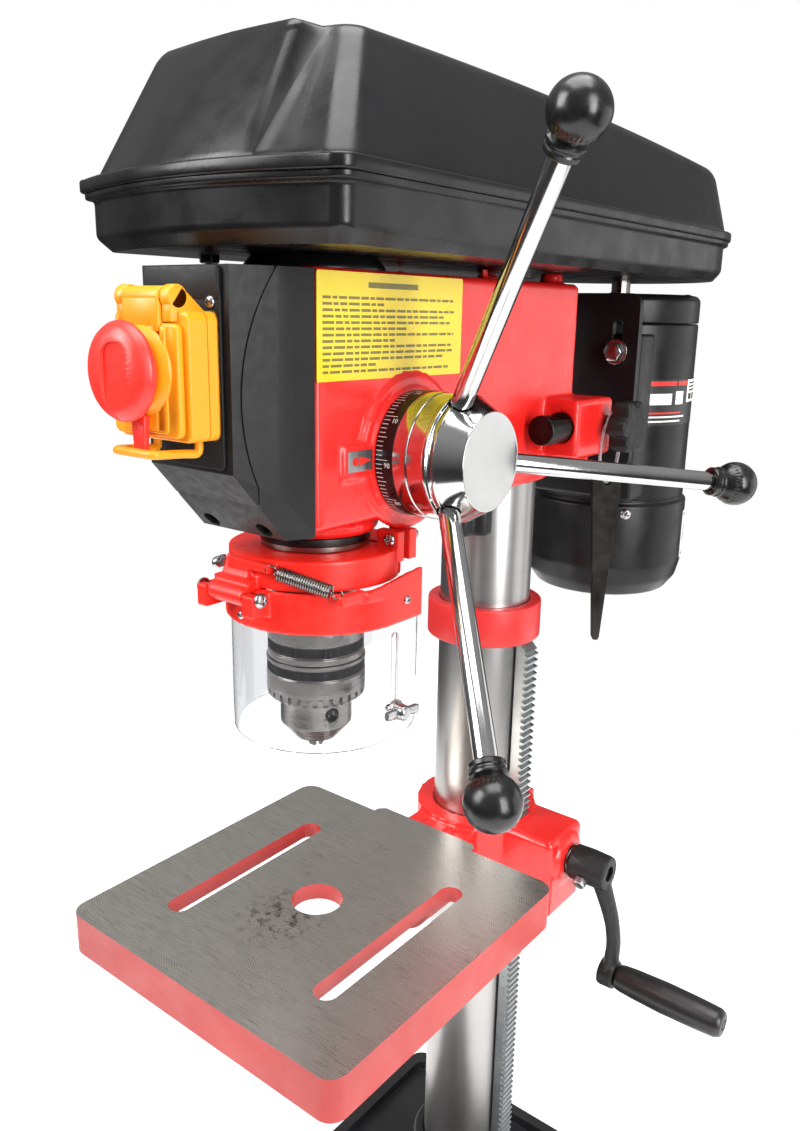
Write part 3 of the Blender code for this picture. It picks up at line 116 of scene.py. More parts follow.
# the belt cover: its plan's front and rear centre, the fall of its top, and the crease in its front
COVER_FRONT = PAN_LOW.y + 14
REAR_Y = PAN_HIGH.y - PAN_HIGH.x
COVER_LENGTH = 363.0
TOP_FALL = 16.0
CROWN_FRONT = -216.0
CREASE_FOOT = 42.0
LID_SCREW = (72.0, -22.0, 762.0)

# the motor's shell and the wider bell below it
SHELL_R, BELL_R = 59, 61.5

# the chuck guard: its centre, its collar, and the pin that it flips on
GUARD_Y = SPINDLE_Y + 3.5
COLLAR_BOTTOM, COLLAR_TOP = 561.3, 576.6
HINGE_LEFT, HINGE_RIGHT = -21.0, 3.5
PIN_Y, PIN_Z = -217.7, 558.0


# ---------------------------------------------------------------- mesh kit

def placed(name, mesh, paints=()):
    """A mesh as a new object in the scene, with its materials."""
    for paint in paints:
        mesh.materials.append(paint)
    made = bpy.data.objects.new(name, mesh)
    bpy.context.scene.collection.objects.link(made)
    return made


def smoothed(mesh, sharp=SHARP):
    mesh.shade_smooth()
    mesh.set_sharp_from_angle(angle=math.radians(sharp))


def finish(name, bm, *paints, sharp=SHARP):
    """A bmesh in millimetres becomes a named object in metres with its materials."""
    bmesh.ops.remove_doubles(bm, verts=bm.verts, dist=1e-4)
    bmesh.ops.recalc_face_normals(bm, faces=bm.faces)
    bmesh.ops.scale(bm, vec=(MM, MM, MM), verts=bm.verts)
    mesh = bpy.data.meshes.new(name)
    bm.to_mesh(mesh)
    bm.free()
    smoothed(mesh, sharp)
    return placed(name, mesh, paints)


def show(piece, body, slot, *nodes):
    """Puts a finished piece on its CAD body and hides the nodes that it stands for; the slot argument is not
    used.
    """
    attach(piece, body)
    if nodes:
        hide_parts(*nodes)
    return piece


def eased(points, radius, closed=False, steps=3):
    """A line of points with its corners rounded off, by less where its sides are short."""
    result = []
    count = len(points)
    for i, point in enumerate(points):
        here = Vector(point)
        if not closed and i in (0, count - 1):
            result.append(here)
            continue
        before = Vector(points[i - 1]) - here
        after = Vector(points[(i + 1) % count]) - here
        reach = min(radius, before.length * 0.45, after.length * 0.45)
        first = here + before.normalized() * reach
        last = here + after.normalized() * reach
        for step in range(steps + 1):
            t = step / steps
            result.append(first * (1 - t) ** 2 + here * 2 * t * (1 - t) + last * t * t)
    return result


def eased_plan(outline, radius, steps=3):
    """A closed outline in two axes with its corners rounded off."""
    return [(p.x, p.y) for p in eased(outline, radius, closed=True, steps=steps)]


def skin(bm, rows, ring=True, caps=True):
    """Faces between rows of points; a row of one point closes to a tip."""
    rows = [[bm.verts.new(point) for point in row] for row in rows]
    sides = max(len(row) for row in rows)
    for low, high in zip(rows, rows[1:]):
        for i in range(sides if ring else sides - 1):
            j = (i + 1) % sides
            corners = [low[i % len(low)], low[j % len(low)], high[j % len(high)], high[i % len(high)]]
            loop = list(dict.fromkeys(corners))
            if len(loop) > 2:
                bm.faces.new(loop)
    if caps:
        for row in (rows[0], rows[-1]):
            if len(row) > 2:
                bm.faces.new(row)
    return rows


def loft(name, rings, *paints, ease=0.0, caps=True, sharp=SHARP):
    """A solid through rings of equal length, with each lengthwise line's corners eased."""
    if ease:
        lines = [eased(line, ease) for line in zip(*rings)]
        rings = list(zip(*lines))
    bm = bmesh.new()
    skin(bm, rings, caps=caps)
    return finish(name, bm, *paints, sharp=sharp)


def prism(name, outline, axis, start, end, *paints, soft=0.0, segments=3, sharp=SHARP):
    """An outline in the other two axes, in X, Y, Z order, carried along an axis."""
    def at(point, height):
        spot = list(point)
        spot.insert("XYZ".index(axis), height)
        return spot
    bm = bmesh.new()
    skin(bm, [[at(p, h) for p in outline] for h in (start, end)])
    made = finish(name, bm, *paints, sharp=sharp)
    return bevel(made, soft, segments) if soft else made


def bevel(piece, width, segments=3, angle=38):
    step = piece.modifiers.new("soft_edges", "BEVEL")
    step.width = width * MM
    step.segments = segments
    step.limit_method = "ANGLE"
    step.angle_limit = math.radians(angle)
    step.harden_normals = True
    return piece


def block(name, low, high, *paints, soft=0.8, segments=3):
    """A box with eased edges."""
    outline = [(low[0], low[1]), (high[0], low[1]), (high[0], high[1]), (low[0], high[1])]
    return prism(name, outline, "Z", low[2], high[2], *paints, soft=soft, segments=segments)


def slab(low, high, *paints):
    """A sharp-edged block, to cut with or to build from."""
    return block("slab", low, high, *paints, soft=0)


def turned_to(axis, centre):
    """The matrix that takes +Z to an axis and the origin to a centre."""
    turned = Vector((0, 0, 1)).rotation_difference(Vector(axis)).to_matrix().to_4x4()
    return Matrix.Translation(centre) @ turned


def turn(name, profile, *paints, axis=(0, 0, 1), centre=(0, 0, 0), sides=96, ease=0.6, sharp=SHARP):
    """A profile of (radius, height) pairs turned about an axis; a closed ring if it never meets the axis."""
    ring = bool(profile[0][0] and profile[-1][0])
    line = eased([(r, h) for r, h in profile], ease, closed=ring) if ease else profile
    rows = []
    for radius, height in line:
        if radius < 1e-6:
            rows.append([(0, 0, height)])
            continue
        turns = [2 * math.pi * i / sides for i in range(sides)]
        rows.append([(radius * math.cos(a), radius * math.sin(a), height) for a in turns])
    if ring:
        rows.append(rows[0])
    bm = bmesh.new()
    skin(bm, rows, caps=False)
    bmesh.ops.remove_doubles(bm, verts=bm.verts, dist=1e-4)
    bmesh.ops.transform(bm, matrix=turned_to(axis, centre), verts=bm.verts)
    return finish(name, bm, *paints, sharp=sharp)


def rod(name, radius, start, end, *paints, sides=48, ease=0.5):
    along = Vector(end) - Vector(start)
    profile = [(0, 0), (radius, 0), (radius, along.length), (0, along.length)]
    return turn(name, profile, *paints, axis=along.normalized(), centre=start, sides=sides, ease=ease)


def drill(radius, start, end, *paints, sides=48):
    """A sharp-edged rod to cut with."""
    return rod("drill", radius, start, end, *paints, sides=sides, ease=0)


def sweep(name, points, radius, *paints, sides=12, closed=False, flat=1.0, up=(0, 0, 1)):
    """A round or flattened bar along a line of points; radius may be a list, one for each point."""
    points = [Vector(p) for p in points]
    radii = radius if isinstance(radius, (list, tuple)) else [radius] * len(points)
    rows = []
    side = Vector(up)
    for i, here in enumerate(points):
        before = points[i - 1] if i or closed else here
        after = points[(i + 1) % len(points)] if i + 1 < len(points) or closed else here
        along = (after - before).normalized()
        side = (side - along * side.dot(along)).normalized()
        across = along.cross(side)
        row = []
        for k in range(sides):
            turn_angle = 2 * math.pi * k / sides
            offset = side * math.cos(turn_angle) + across * math.sin(turn_angle) * flat
            row.append(here + offset * radii[i])
        rows.append(row)
    bm = bmesh.new()
    skin(bm, rows + ([rows[0]] if closed else []), caps=not closed)
    return finish(name, bm, *paints, sharp=60)


def bake(piece):
    """Applies a piece's modifiers, so that its mesh is final."""
    graph = bpy.context.evaluated_depsgraph_get()
    mesh = bpy.data.meshes.new_from_object(piece.evaluated_get(graph))
    piece.modifiers.clear()
    old = piece.data
    piece.data = mesh
    bpy.data.meshes.remove(old)
    return piece


def boolean(piece, operation, *tools):
    for tool in tools:
        step = piece.modifiers.new(tool.name, "BOOLEAN")
        step.operation = operation
        step.solver = "EXACT"
        step.object = tool
    bake(piece)
    for tool in tools:
        bpy.data.objects.remove(tool, do_unlink=True)
    smoothed(piece.data)
    return piece


def cut(piece, *tools):
    return boolean(piece, "DIFFERENCE", *tools)


def fuse(piece, *tools):
    return boolean(piece, "UNION", *tools)


def gather(name, *parts):
    """Several objects become one piece, each keeping its material."""
    bm = bmesh.new()
    paints = []
    for part in parts:
        if part.modifiers:
            bake(part)
        shift = []
        for paint in part.data.materials:
            if paint not in paints:
                paints.append(paint)
            shift.append(paints.index(paint))
        first = len(bm.faces)
        bm.from_mesh(part.data)
        bm.faces.ensure_lookup_table()
        for face in bm.faces[first:]:
            face.material_index = shift[face.material_index] if shift else 0
    mesh = bpy.data.meshes.new(name)
    bm.to_mesh(mesh)
    bm.free()
    for part in parts:
        bpy.data.objects.remove(part, do_unlink=True)
    smoothed(mesh)
    return placed(name, mesh, paints)


def copy_of(node, *paints):
    """A CAD node's mesh as a new object, its split vertices joined."""
    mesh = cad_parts[node].data.copy()
    bm = bmesh.new()
    bm.from_mesh(mesh)
    bmesh.ops.remove_doubles(bm, verts=bm.verts, dist=1e-6)
    bm.to_mesh(mesh)
    bm.free()
    mesh.materials.clear()
    return placed(f"{node}_copy", mesh, paints)


def carried(node, name, body, slot, paint, *edges):
    """A CAD node's own mesh with its edges eased, as one finished piece."""
    piece = bake(bevel(copy_of(node, paint), *edges))
    piece.name = name
    return show(piece, body, slot, node)


def cast(name, voxel, rounds, keep, paint, *parts):
    """Overlapping solids become one skin with the rounded corners of a casting or a moulding."""
    whole = gather(name, *parts)
    step = whole.modifiers.new("skin", "REMESH")
    step.mode = "VOXEL"
    step.voxel_size = voxel * MM
    step.use_smooth_shade = True
    bake(whole)
    ease = whole.modifiers.new("ease", "SMOOTH")
    ease.factor = 0.5
    ease.iterations = rounds
    thin = whole.modifiers.new("thin", "DECIMATE")
    thin.ratio = keep
    bake(whole)
    whole.data.materials.clear()
    whole.data.materials.append(paint)
    whole.data.shade_smooth()
    return whole


def roughen(piece, depth, size, seed=0.0):
    """Moves the skin in and out by smooth noise, as sand does to a casting."""
    mesh = piece.data
    normals = [vertex.normal.copy() for vertex in mesh.vertices]
    spots = [vertex.co.copy() for vertex in mesh.vertices]
    shift = Vector((seed, seed, seed))
    flat = []
    for spot, normal in zip(spots, normals):
        at = spot / (size * MM) + shift
        lift = noise.noise(at) + 0.5 * noise.noise(at * 2.3)
        flat.extend(spot + normal * (lift * depth * MM))
    mesh.vertices.foreach_set("co", flat)
    mesh.update()
    return piece


def arc(radius, centre, first, sweep_angle, count):
    """Points along an arc, both ends among them, its angles in degrees."""
    turns = [math.radians(first + sweep_angle * i / count) for i in range(count + 1)]
    return [(centre[0] + radius * math.cos(a), centre[1] + radius * math.sin(a)) for a in turns]


def rounded(low, high, radius, steps=8):
    """A rectangle with round corners, as points in order."""
    spots = ((high[0], high[1], 0), (low[0], high[1], 90), (low[0], low[1], 180), (high[0], low[1], 270))
    points = []
    for corner_x, corner_y, first in spots:
        x = corner_x + (-radius if corner_x == high[0] else radius)
        y = corner_y + (-radius if corner_y == high[1] else radius)
        points += arc(radius, (x, y), first, 90, steps)
    return points


def circle(radius, count, centre=(0, 0), turned=0.0):
    turns = [turned + 2 * math.pi * i / count for i in range(count)]
    return [(centre[0] + radius * math.cos(a), centre[1] + radius * math.sin(a)) for a in turns]


def lobed(radius, depth, lobes, centre, steps=14):
    """A star knob's outline: round lobes with hollows between them."""
    points = []
    for i in range(lobes * steps):
        angle = 2 * math.pi * i / (lobes * steps)
        reach = radius - depth * (0.5 - 0.5 * math.cos(lobes * angle)) ** 1.6
        points.append((centre[0] + reach * math.cos(angle), centre[1] + reach * math.sin(angle)))
    return points


def tooth_edge(tip, low, count):
    """A rack's toothed edge as (depth, height) pairs, rising from low; the tips lie at tip."""
    points = []
    for tooth in range(count):
        centre = low + TOOTH_PITCH * (tooth + 0.5)
        for side in SIDES:
            narrow = (tip, centre + side * TOOTH_PITCH * 0.13)
            wide = (tip - TOOTH_DEPTH, centre + side * TOOTH_PITCH * 0.33)
            points += [wide, narrow] if side < 0 else [narrow, wide]
    return points


def smooth_line(points, count):
    """A Catmull-Rom curve through a line of points."""
    points = [Vector(p) for p in points]
    last = len(points) - 1
    result = []
    for i in range(count + 1):
        t = i / count * last
        k = min(int(t), last - 1)
        f = t - k
        p0, p1, p2, p3 = points[max(k - 1, 0)], points[k], points[k + 1], points[min(k + 2, last)]
        result.append(0.5 * (2 * p1 + (p2 - p0) * f + (2 * p0 - 5 * p1 + 4 * p2 - p3) * f * f
                             + (3 * p1 - p0 - 3 * p2 + p3) * f ** 3))
    return result


def around(centre_y, radius, angle, z):
    """A point beside an upright axis."""
    return (radius * math.cos(angle), centre_y + radius * math.sin(angle), z)


# ---------------------------------------------------------------- fasteners

def put_at(piece, spot, axis):
    piece.data.transform(turned_to(axis, Vector(spot) * MM))
    return piece


def cross_screw(name, spot, axis, radius=3.6, paint=None):
    """A pan head screw with a cross recess, its seat at spot and its head along axis."""
    head = turn(name, [(radius, 0), (radius, radius * 0.25), (radius * 0.72, radius * 0.58),
                       (0, radius * 0.66)], paint, sides=40, ease=radius * 0.3)
    base = turn(f"{name}_seat", [(0, 0), (radius, 0), (radius, 0.1), (0, 0.1)], paint, sides=40, ease=0)
    wide, narrow = radius * 0.56, radius * 0.14
    for x, y in ((wide, narrow), (narrow, wide)):
        cut(head, prism(f"{name}_cross", [(-x, -y), (x, -y), (x, y), (-x, y)], "Z", radius * 0.3, radius))
    return put_at(gather(name, head, base), spot, axis)


def hex_bolt(name, spot, axis, across=10.0, height=4.5, paint=None, washer=0.0):
    """A hexagon head with a turned chamfer, on a washer if one is given."""
    start = 1.4 if washer else 0.0
    corner = across / math.sqrt(3)
    body = prism(name, circle(corner, 6), "Z", start, start + height, paint)
    dome = turn(f"{name}_chamfer", [(0, start - 1), (corner + 1, start - 1),
                                    (corner + 1, start + height * 0.72), (across * 0.44, start + height),
                                    (0, start + height)], sides=48, ease=0)
    boolean(body, "INTERSECT", dome)
    bevel(body, 0.25, 2)
    parts = [body]
    if washer:
        parts.append(turn(f"{name}_washer", [(0, 0), (washer, 0), (washer, 1.4), (0, 1.4)], paint, ease=0.3,
                          sides=48))
    return put_at(gather(name, *parts), spot, axis)


def cap_nut(name, spot, axis, across=7.0, paint=None):
    """An acorn nut."""
    base = prism(name, circle(across / math.sqrt(3), 6), "Z", 0, across * 0.45, paint)
    dome = turn(f"{name}_dome", [(across * 0.48, across * 0.4), (across * 0.47, across * 0.7),
                                 (across * 0.3, across), (0, across * 1.08)], paint, sides=32,
                ease=across * 0.15)
    return put_at(gather(name, bevel(base, 0.3, 2), dome), spot, axis)


# ---------------------------------------------------------------- materials

class Paint:
    """A procedural material: colour, roughness and relief built from noise in object space, in metres."""

    def __init__(self, name, colour, roughness, metallic=0.0, **sockets):
        self.material = bpy.data.materials.new(name)
        self.material.use_nodes = True
        self.tree = self.material.node_tree
        self.shader = self.tree.nodes["Principled BSDF"]
        self.set("Base Color", (*colour, 1))
        self.set("Roughness", roughness)
        self.set("Metallic", metallic)
        for socket, value in sockets.items():
            self.set(socket.replace("_", " "), value)
        self.place = self.node("ShaderNodeTexCoord").outputs["Object"]
        self.relief = None

    def set(self, socket, value):
        self.shader.inputs[socket].default_value = value

    def node(self, kind, **inputs):
        made = self.tree.nodes.new(kind)
        for key, value in inputs.items():
            self.feed(made.inputs[key.replace("_", " ")], value)
        return made

    def feed(self, socket, value):
        if isinstance(value, bpy.types.NodeSocket):
            self.tree.links.new(value, socket)
        else:
            socket.default_value = value

    def stretched(self, stretch):
        made = self.node("ShaderNodeMapping", Vector=self.place)
        made.inputs["Scale"].default_value = stretch
        return made.outputs["Vector"]

    def noise(self, scale, detail=2.0, stretch=None, rough=0.5):
        place = self.stretched(stretch) if stretch else self.place
        made = self.node("ShaderNodeTexNoise", Vector=place, Scale=scale, Detail=detail, Roughness=rough)
        return made.outputs["Fac"]

    def ramp(self, factor, *stops):
        made = self.node("ShaderNodeValToRGB", Fac=factor)
        points = made.color_ramp.elements
        for i, (place, colour) in enumerate(stops):
            point = points[i] if i < 2 else points.new(place)
            point.position = place
            point.color = (*colour, 1) if len(colour) == 3 else colour
        return made.outputs["Color"]

    def between(self, factor, low, high, start=0.35, end=0.65):
        made = self.node("ShaderNodeMapRange", Value=factor)
        for key, value in (("From Min", start), ("From Max", end), ("To Min", low), ("To Max", high)):
            made.inputs[key].default_value = value
        return made.outputs["Result"]

    def math(self, operation, a, b):
        made = self.node("ShaderNodeMath")
        made.operation = operation
        self.feed(made.inputs[0], a)
        self.feed(made.inputs[1], b)
        return made.outputs["Value"]

    def blend(self, factor, a, b):
        made = self.tree.nodes.new("ShaderNodeMix")
        made.data_type = "RGBA"
        for key, value in (("Factor_Float", factor), ("A_Color", a), ("B_Color", b)):
            socket = next(i for i in made.inputs if i.identifier == key)
            self.feed(socket, (*value, 1) if isinstance(value, tuple) and len(value) == 3 else value)
        return next(o for o in made.outputs if o.identifier == "Result_Color")

    def colour(self, socket):
        self.tree.links.new(socket, self.shader.inputs["Base Color"])
        return self

    def rough(self, socket):
        self.tree.links.new(socket, self.shader.inputs["Roughness"])
        return self

    def bump(self, height, strength, depth):
        """Adds relief of a depth in millimetres over what is there already."""
        made = self.node("ShaderNodeBump", Height=height, Strength=strength, Distance=depth * MM)
        if self.relief:
            self.tree.links.new(self.relief, made.inputs["Normal"])
        self.relief = made.outputs["Normal"]
        self.tree.links.new(self.relief, self.shader.inputs["Normal"])
        return self


def enamel(name, deep, light, gloss, peel, lumps=0.0, coat=0.3, shine=0.5):
    """Paint with an orange-peel skin, over cast lumps if given."""
    paint = Paint(name, light, gloss, Coat_Weight=coat, Coat_Roughness=0.12, Specular_IOR_Level=shine)
    cloud = paint.noise(9, 3)
    paint.colour(paint.ramp(cloud, (0.35, deep), (0.65, light)))
    paint.rough(paint.between(paint.noise(60, 4), gloss - 0.05, gloss + 0.08))
    paint.bump(paint.noise(650, 3), peel, 0.16)
    if lumps:
        paint.bump(paint.noise(150, 4, rough=0.6), lumps, 0.7)
    return paint.material


def moulded(name, deep, light, gloss, grain, **sockets):
    """Injection-moulded plastic with a fine spark-eroded grain."""
    paint = Paint(name, light, gloss, **sockets)
    paint.colour(paint.ramp(paint.noise(14, 3), (0.3, deep), (0.7, light)))
    paint.rough(paint.between(paint.noise(220, 3), gloss - 0.05, gloss + 0.07))
    paint.bump(paint.noise(2600, 2), grain, 0.05)
    return paint.material


def metal(name, deep, light, gloss, stretch, lines, spread=0.1, scale=40.0):
    """Machined metal: tool marks are noise drawn out along the way of the cut."""
    paint = Paint(name, light, gloss, 1.0)
    marks = paint.noise(scale, 5, stretch, 0.65)
    blotch = paint.noise(35, 4)
    tone = paint.math("ADD", paint.math("MULTIPLY", marks, 0.6), paint.math("MULTIPLY", blotch, 0.4))
    paint.colour(paint.ramp(tone, (0.32, deep), (0.66, light)))
    paint.rough(paint.between(tone, gloss - spread, gloss + spread))
    paint.bump(marks, lines, 0.06)
    return paint.material


def ground_table():
    """The ground table top: overlapping arcs of the facing cutter, with a few dark stains near the hole."""
    paint = Paint("table_ground", (0.4, 0.38, 0.35), 0.34, 1.0)
    hole = Vector((0, SPINDLE_Y, 0)) * MM
    arcs = []
    for shift, size in ((Vector((0, 0, 0)), 210), (Vector((62, 26, 0)), 250), (Vector((-70, -30, 0)), 230)):
        moved = paint.node("ShaderNodeMapping", Vector=paint.place)
        moved.inputs["Location"].default_value = -(hole + shift * MM)
        rings = paint.node("ShaderNodeTexWave", Vector=moved.outputs["Vector"], Scale=size, Distortion=3.0,
                           Detail=3.0, Detail_Scale=0.6, Detail_Roughness=0.6)
        rings.wave_type = "RINGS"
        rings.rings_direction = "Z"
        arcs.append(rings.outputs["Fac"])
    zones = paint.between(paint.noise(11, 2), 0.0, 1.0, 0.42, 0.56)
    other = paint.between(paint.noise(17, 2, (1, 2, 1)), 0.0, 1.0, 0.45, 0.56)
    marks = paint.blend(other, paint.blend(zones, arcs[0], arcs[1]), arcs[2])
    scratch = paint.noise(90, 6, (1, 9, 1), 0.7)
    tone = paint.math("ADD", paint.math("MULTIPLY", marks, 0.32), paint.math("MULTIPLY", scratch, 0.68))
    bare = paint.ramp(tone, (0.25, (0.46, 0.43, 0.39)), (0.5, (0.56, 0.53, 0.485)), (0.78, (0.68, 0.65, 0.6)))
    near = paint.node("ShaderNodeVectorMath", Vector=paint.place)
    near.operation = "DISTANCE"
    near.inputs[1].default_value = (-0.004, SPINDLE_Y * MM - 0.027, TABLE_HIGH.z * MM)
    closeness = paint.between(near.outputs["Value"], 1.0, 0.0, 0.004, 0.034)
    specks = paint.between(paint.noise(190, 5, rough=0.7), 0.0, 1.0, 0.5, 0.6)
    stain = paint.math("MULTIPLY", closeness, specks)
    drag = paint.math("MULTIPLY", paint.between(paint.noise(22, 4, (1, 1.6, 1)), 0.0, 0.7, 0.6, 0.74),
                      paint.between(paint.noise(240, 4, rough=0.7), 0.0, 1.0, 0.45, 0.62))
    dirt = paint.math("MAXIMUM", stain, drag)
    paint.colour(paint.blend(dirt, bare, (0.045, 0.04, 0.036)))
    paint.rough(paint.math("ADD", paint.between(tone, 0.26, 0.42, 0.3, 0.7),
                           paint.math("MULTIPLY", dirt, 0.25)))
    paint.bump(marks, 0.07, 0.02)
    paint.bump(scratch, 0.18, 0.04)
    return paint.material


def clear_plastic():
    paint = Paint("clear_polycarbonate", (0.9, 0.905, 0.925), 0.03, Transmission_Weight=1.0, IOR=1.45)
    paint.rough(paint.between(paint.noise(45, 4), 0.02, 0.07))
    paint.bump(paint.noise(30, 2), 0.05, 0.4)
    return paint.material


RED = enamel("red_casting_enamel", (0.74, 0.012, 0.01), (0.86, 0.02, 0.015), 0.3, 0.35, 0.3)
# the table's red: a rougher enamel, its colour darkened well below the head's red as painted shade for the
# shadow on the table
RED_ROUGH_SHADED = enamel("red_table_enamel_shaded", (0.4, 0.028, 0.024), (0.5, 0.042, 0.036), 0.45, 0.4, 0.45, 0.1)
RED_COLLAR = enamel("red_collar_enamel", (0.6, 0.018, 0.018), (0.7, 0.03, 0.028), 0.36, 0.15, 0.08, 0.1)
BLACK = enamel("black_cover_enamel", (0.006, 0.006, 0.0066), (0.009, 0.009, 0.0098), 0.28, 0.2, 0.0, 0.0,
               0.34)
BLACK_MOTOR = enamel("black_motor_enamel", (0.006, 0.006, 0.0065), (0.009, 0.009, 0.0098), 0.34, 0.3, 0.06,
                     0.0, 0.3)
BLACK_BASE = enamel("black_base_enamel", (0.01, 0.011, 0.012), (0.02, 0.021, 0.022), 0.42, 0.4, 0.4, 0.0, 0.4)
CRANK = enamel("crank_black_enamel", (0.005, 0.005, 0.005), (0.011, 0.011, 0.0105), 0.5, 0.8, 0.9, 0.0, 0.4)
BLACK_PLASTIC = moulded("black_moulding", (0.008, 0.008, 0.0088), (0.012, 0.012, 0.013), 0.48, 0.35,
                        Specular_IOR_Level=0.3)
GRIP = moulded("black_grip", (0.01, 0.0095, 0.0095), (0.016, 0.015, 0.015), 0.34, 0.2, Specular_IOR_Level=0.5)
PHENOLIC = moulded("black_phenolic", (0.005, 0.005, 0.005), (0.009, 0.009, 0.009), 0.26, 0.03,
                   Coat_Weight=0.0, Coat_Roughness=0.12)
YELLOW = moulded("amber_plastic", (0.84, 0.31, 0.006), (0.9, 0.37, 0.012), 0.36, 0.1, Subsurface_Weight=0.12,
                 Subsurface_Scale=0.004)
RED_PLASTIC = moulded("red_guard_plastic", (0.82, 0.016, 0.009), (0.9, 0.026, 0.014), 0.38, 0.12,
                      Subsurface_Weight=0.08, Subsurface_Scale=0.003)
STOP_RED = moulded("red_stop_plastic", (0.82, 0.03, 0.022), (0.9, 0.045, 0.032), 0.34, 0.06,
                   Subsurface_Weight=0.08, Subsurface_Scale=0.003)
GREEN = moulded("green_plastic", (0.02, 0.26, 0.05), (0.03, 0.34, 0.07), 0.32, 0.1)
TIE = moulded("nylon_tie", (0.62, 0.64, 0.68), (0.74, 0.76, 0.8), 0.3, 0.05, Transmission_Weight=0.35)
RUBBER = moulded("belt_rubber", (0.008, 0.008, 0.008), (0.02, 0.02, 0.02), 0.75, 0.9)
COLUMN_STEEL = metal("column_steel", (0.44, 0.43, 0.42), (0.48, 0.47, 0.46), 0.32, (0.4, 0.4, 14), 0.02,
                     0.006)
STEEL = metal("turned_steel", (0.2, 0.19, 0.18), (0.27, 0.255, 0.24), 0.28, (0.5, 0.5, 24), 0.03, 0.012)
HUB_STEEL = metal("hub_face_steel", (0.6, 0.6, 0.6), (0.74, 0.74, 0.74), 0.3, (30, 1, 1), 0.1, 0.06)
ZINC = metal("zinc_plate", (0.36, 0.38, 0.38), (0.46, 0.48, 0.48), 0.36, (1, 1, 1), 0.3, 0.1, 160.0)
BRIGHT = metal("bright_fastener", (0.4, 0.405, 0.41), (0.52, 0.525, 0.53), 0.24, (1, 1, 1), 0.12, 0.07, 140.0)
CHROME = metal("chrome_plate", (0.52, 0.52, 0.515), (0.58, 0.58, 0.575), 0.13, (1, 1, 1), 0.02, 0.02, 60.0)
DARK = metal("blackened_steel", (0.018, 0.018, 0.019), (0.045, 0.043, 0.042), 0.38, (1, 1, 1), 0.3, 0.1,
             120.0)
KEY_STEEL = metal("key_steel", (0.02, 0.019, 0.018), (0.05, 0.046, 0.043), 0.42, (1, 1, 1), 0.4, 0.08, 90.0)
ALLOY = metal("pulley_alloy", (0.48, 0.48, 0.49), (0.68, 0.68, 0.69), 0.36, (0.4, 0.4, 22), 0.35, 0.08)
KNURL = metal("knurled_band", (0.012, 0.012, 0.013), (0.03, 0.03, 0.032), 0.55, (1, 1, 1), 0.9, 0.1, 900.0)
GROUND = ground_table()
CLEAR = clear_plastic()
LABEL = moulded("yellow_label", (0.76, 0.55, 0.01), (0.84, 0.62, 0.018), 0.3, 0.06, Coat_Weight=0.3)
PRINT_GREY = moulded("print_grey", (0.16, 0.13, 0.03), (0.2, 0.17, 0.04), 0.4, 0.05)
PRINT_BLACK = moulded("print_black", (0.012, 0.012, 0.012), (0.02, 0.02, 0.02), 0.35, 0.05)
PRINT_WHITE = moulded("print_white", (0.74, 0.74, 0.72), (0.84, 0.84, 0.82), 0.38, 0.05)
PRINT_RED = moulded("print_red", (0.66, 0.02, 0.015), (0.74, 0.03, 0.02), 0.35, 0.05)
PLATE_GREY = metal("pointer_plate", (0.36, 0.38, 0.38), (0.5, 0.52, 0.52), 0.42, (1, 8, 1), 0.2)


# ---------------------------------------------------------------- base, column and rack

def make_base():
    """The base plate and the column's bolted foot."""
    carried("base", "base_casting", "frame", "black_paint", BLACK_BASE, 1.4)
    low, high = span("column_flange")
    reach, bore = high.x, COLUMN_R + FIT
    bolt_seat, bolt_circle, bolts_in_foot = low.z + 10.7, 47.5, 4
    profile = [(bore, low.z), (reach, low.z), (reach, bolt_seat), (44, low.z + 14), (39.5, low.z + 24),
               (38, high.z - 2), (36.5, high.z), (bore, high.z)]
    flange = turn("column_foot", profile, BLACK_BASE, ease=3.5)
    bolts = []
    for i in range(bolts_in_foot):
        spot = around(0, bolt_circle, math.radians(45 + 90 * i), bolt_seat)
        bolts.append(hex_bolt(f"foot_bolt_{i}", spot, UPWARD, 11, 5, ZINC, 8.2))
    show(flange, "frame", "black_paint", "column_flange")
    show(gather("foot_bolts", *bolts), "frame", "zinc_steel")


def make_column():
    wall = 4
    bore = COLUMN_R - wall
    column = turn("column_tube", [(bore, COLUMN_LOW.z), (COLUMN_R, COLUMN_LOW.z), (COLUMN_R, COLUMN_HIGH.z),
                                  (bore, COLUMN_HIGH.z)], COLUMN_STEEL, sides=128)
    show(column, "frame", "column_steel", "column")
    low, high = span("rack_collar")
    top = high.z - 4
    ring = [(COLUMN_R + FIT, low.z), (high.x, low.z), (high.x, top), (COLUMN_R + FIT, top)]
    collar = turn("rack_ring", ring, RED_COLLAR, ease=1.6, sides=128)
    show(collar, "frame", "red_paint", "rack_collar")


def make_rack():
    low, high = span("rack")
    plain_ends, plain_top = 9, 6
    count = int((high.z - low.z - plain_ends) / TOOTH_PITCH)
    gear = middle("lift_gear").z
    first = gear - TOOTH_PITCH * math.floor((gear - low.z - 1.5) / TOOTH_PITCH)
    edge = [(x, z) for x, z in tooth_edge(high.x, first, count) if z < high.z - plain_top]
    outline = [(low.x, low.z), (high.x - 0.6, low.z), *edge, (high.x - 1, high.z - 5.5), (low.x + 3, high.z),
               (low.x, high.z)]
    rack = prism("toothed_rack", outline, "Y", low.y, high.y, ZINC, soft=0.22, segments=1)
    show(rack, "rack", "zinc_steel", "rack")


# ---------------------------------------------------------------- head

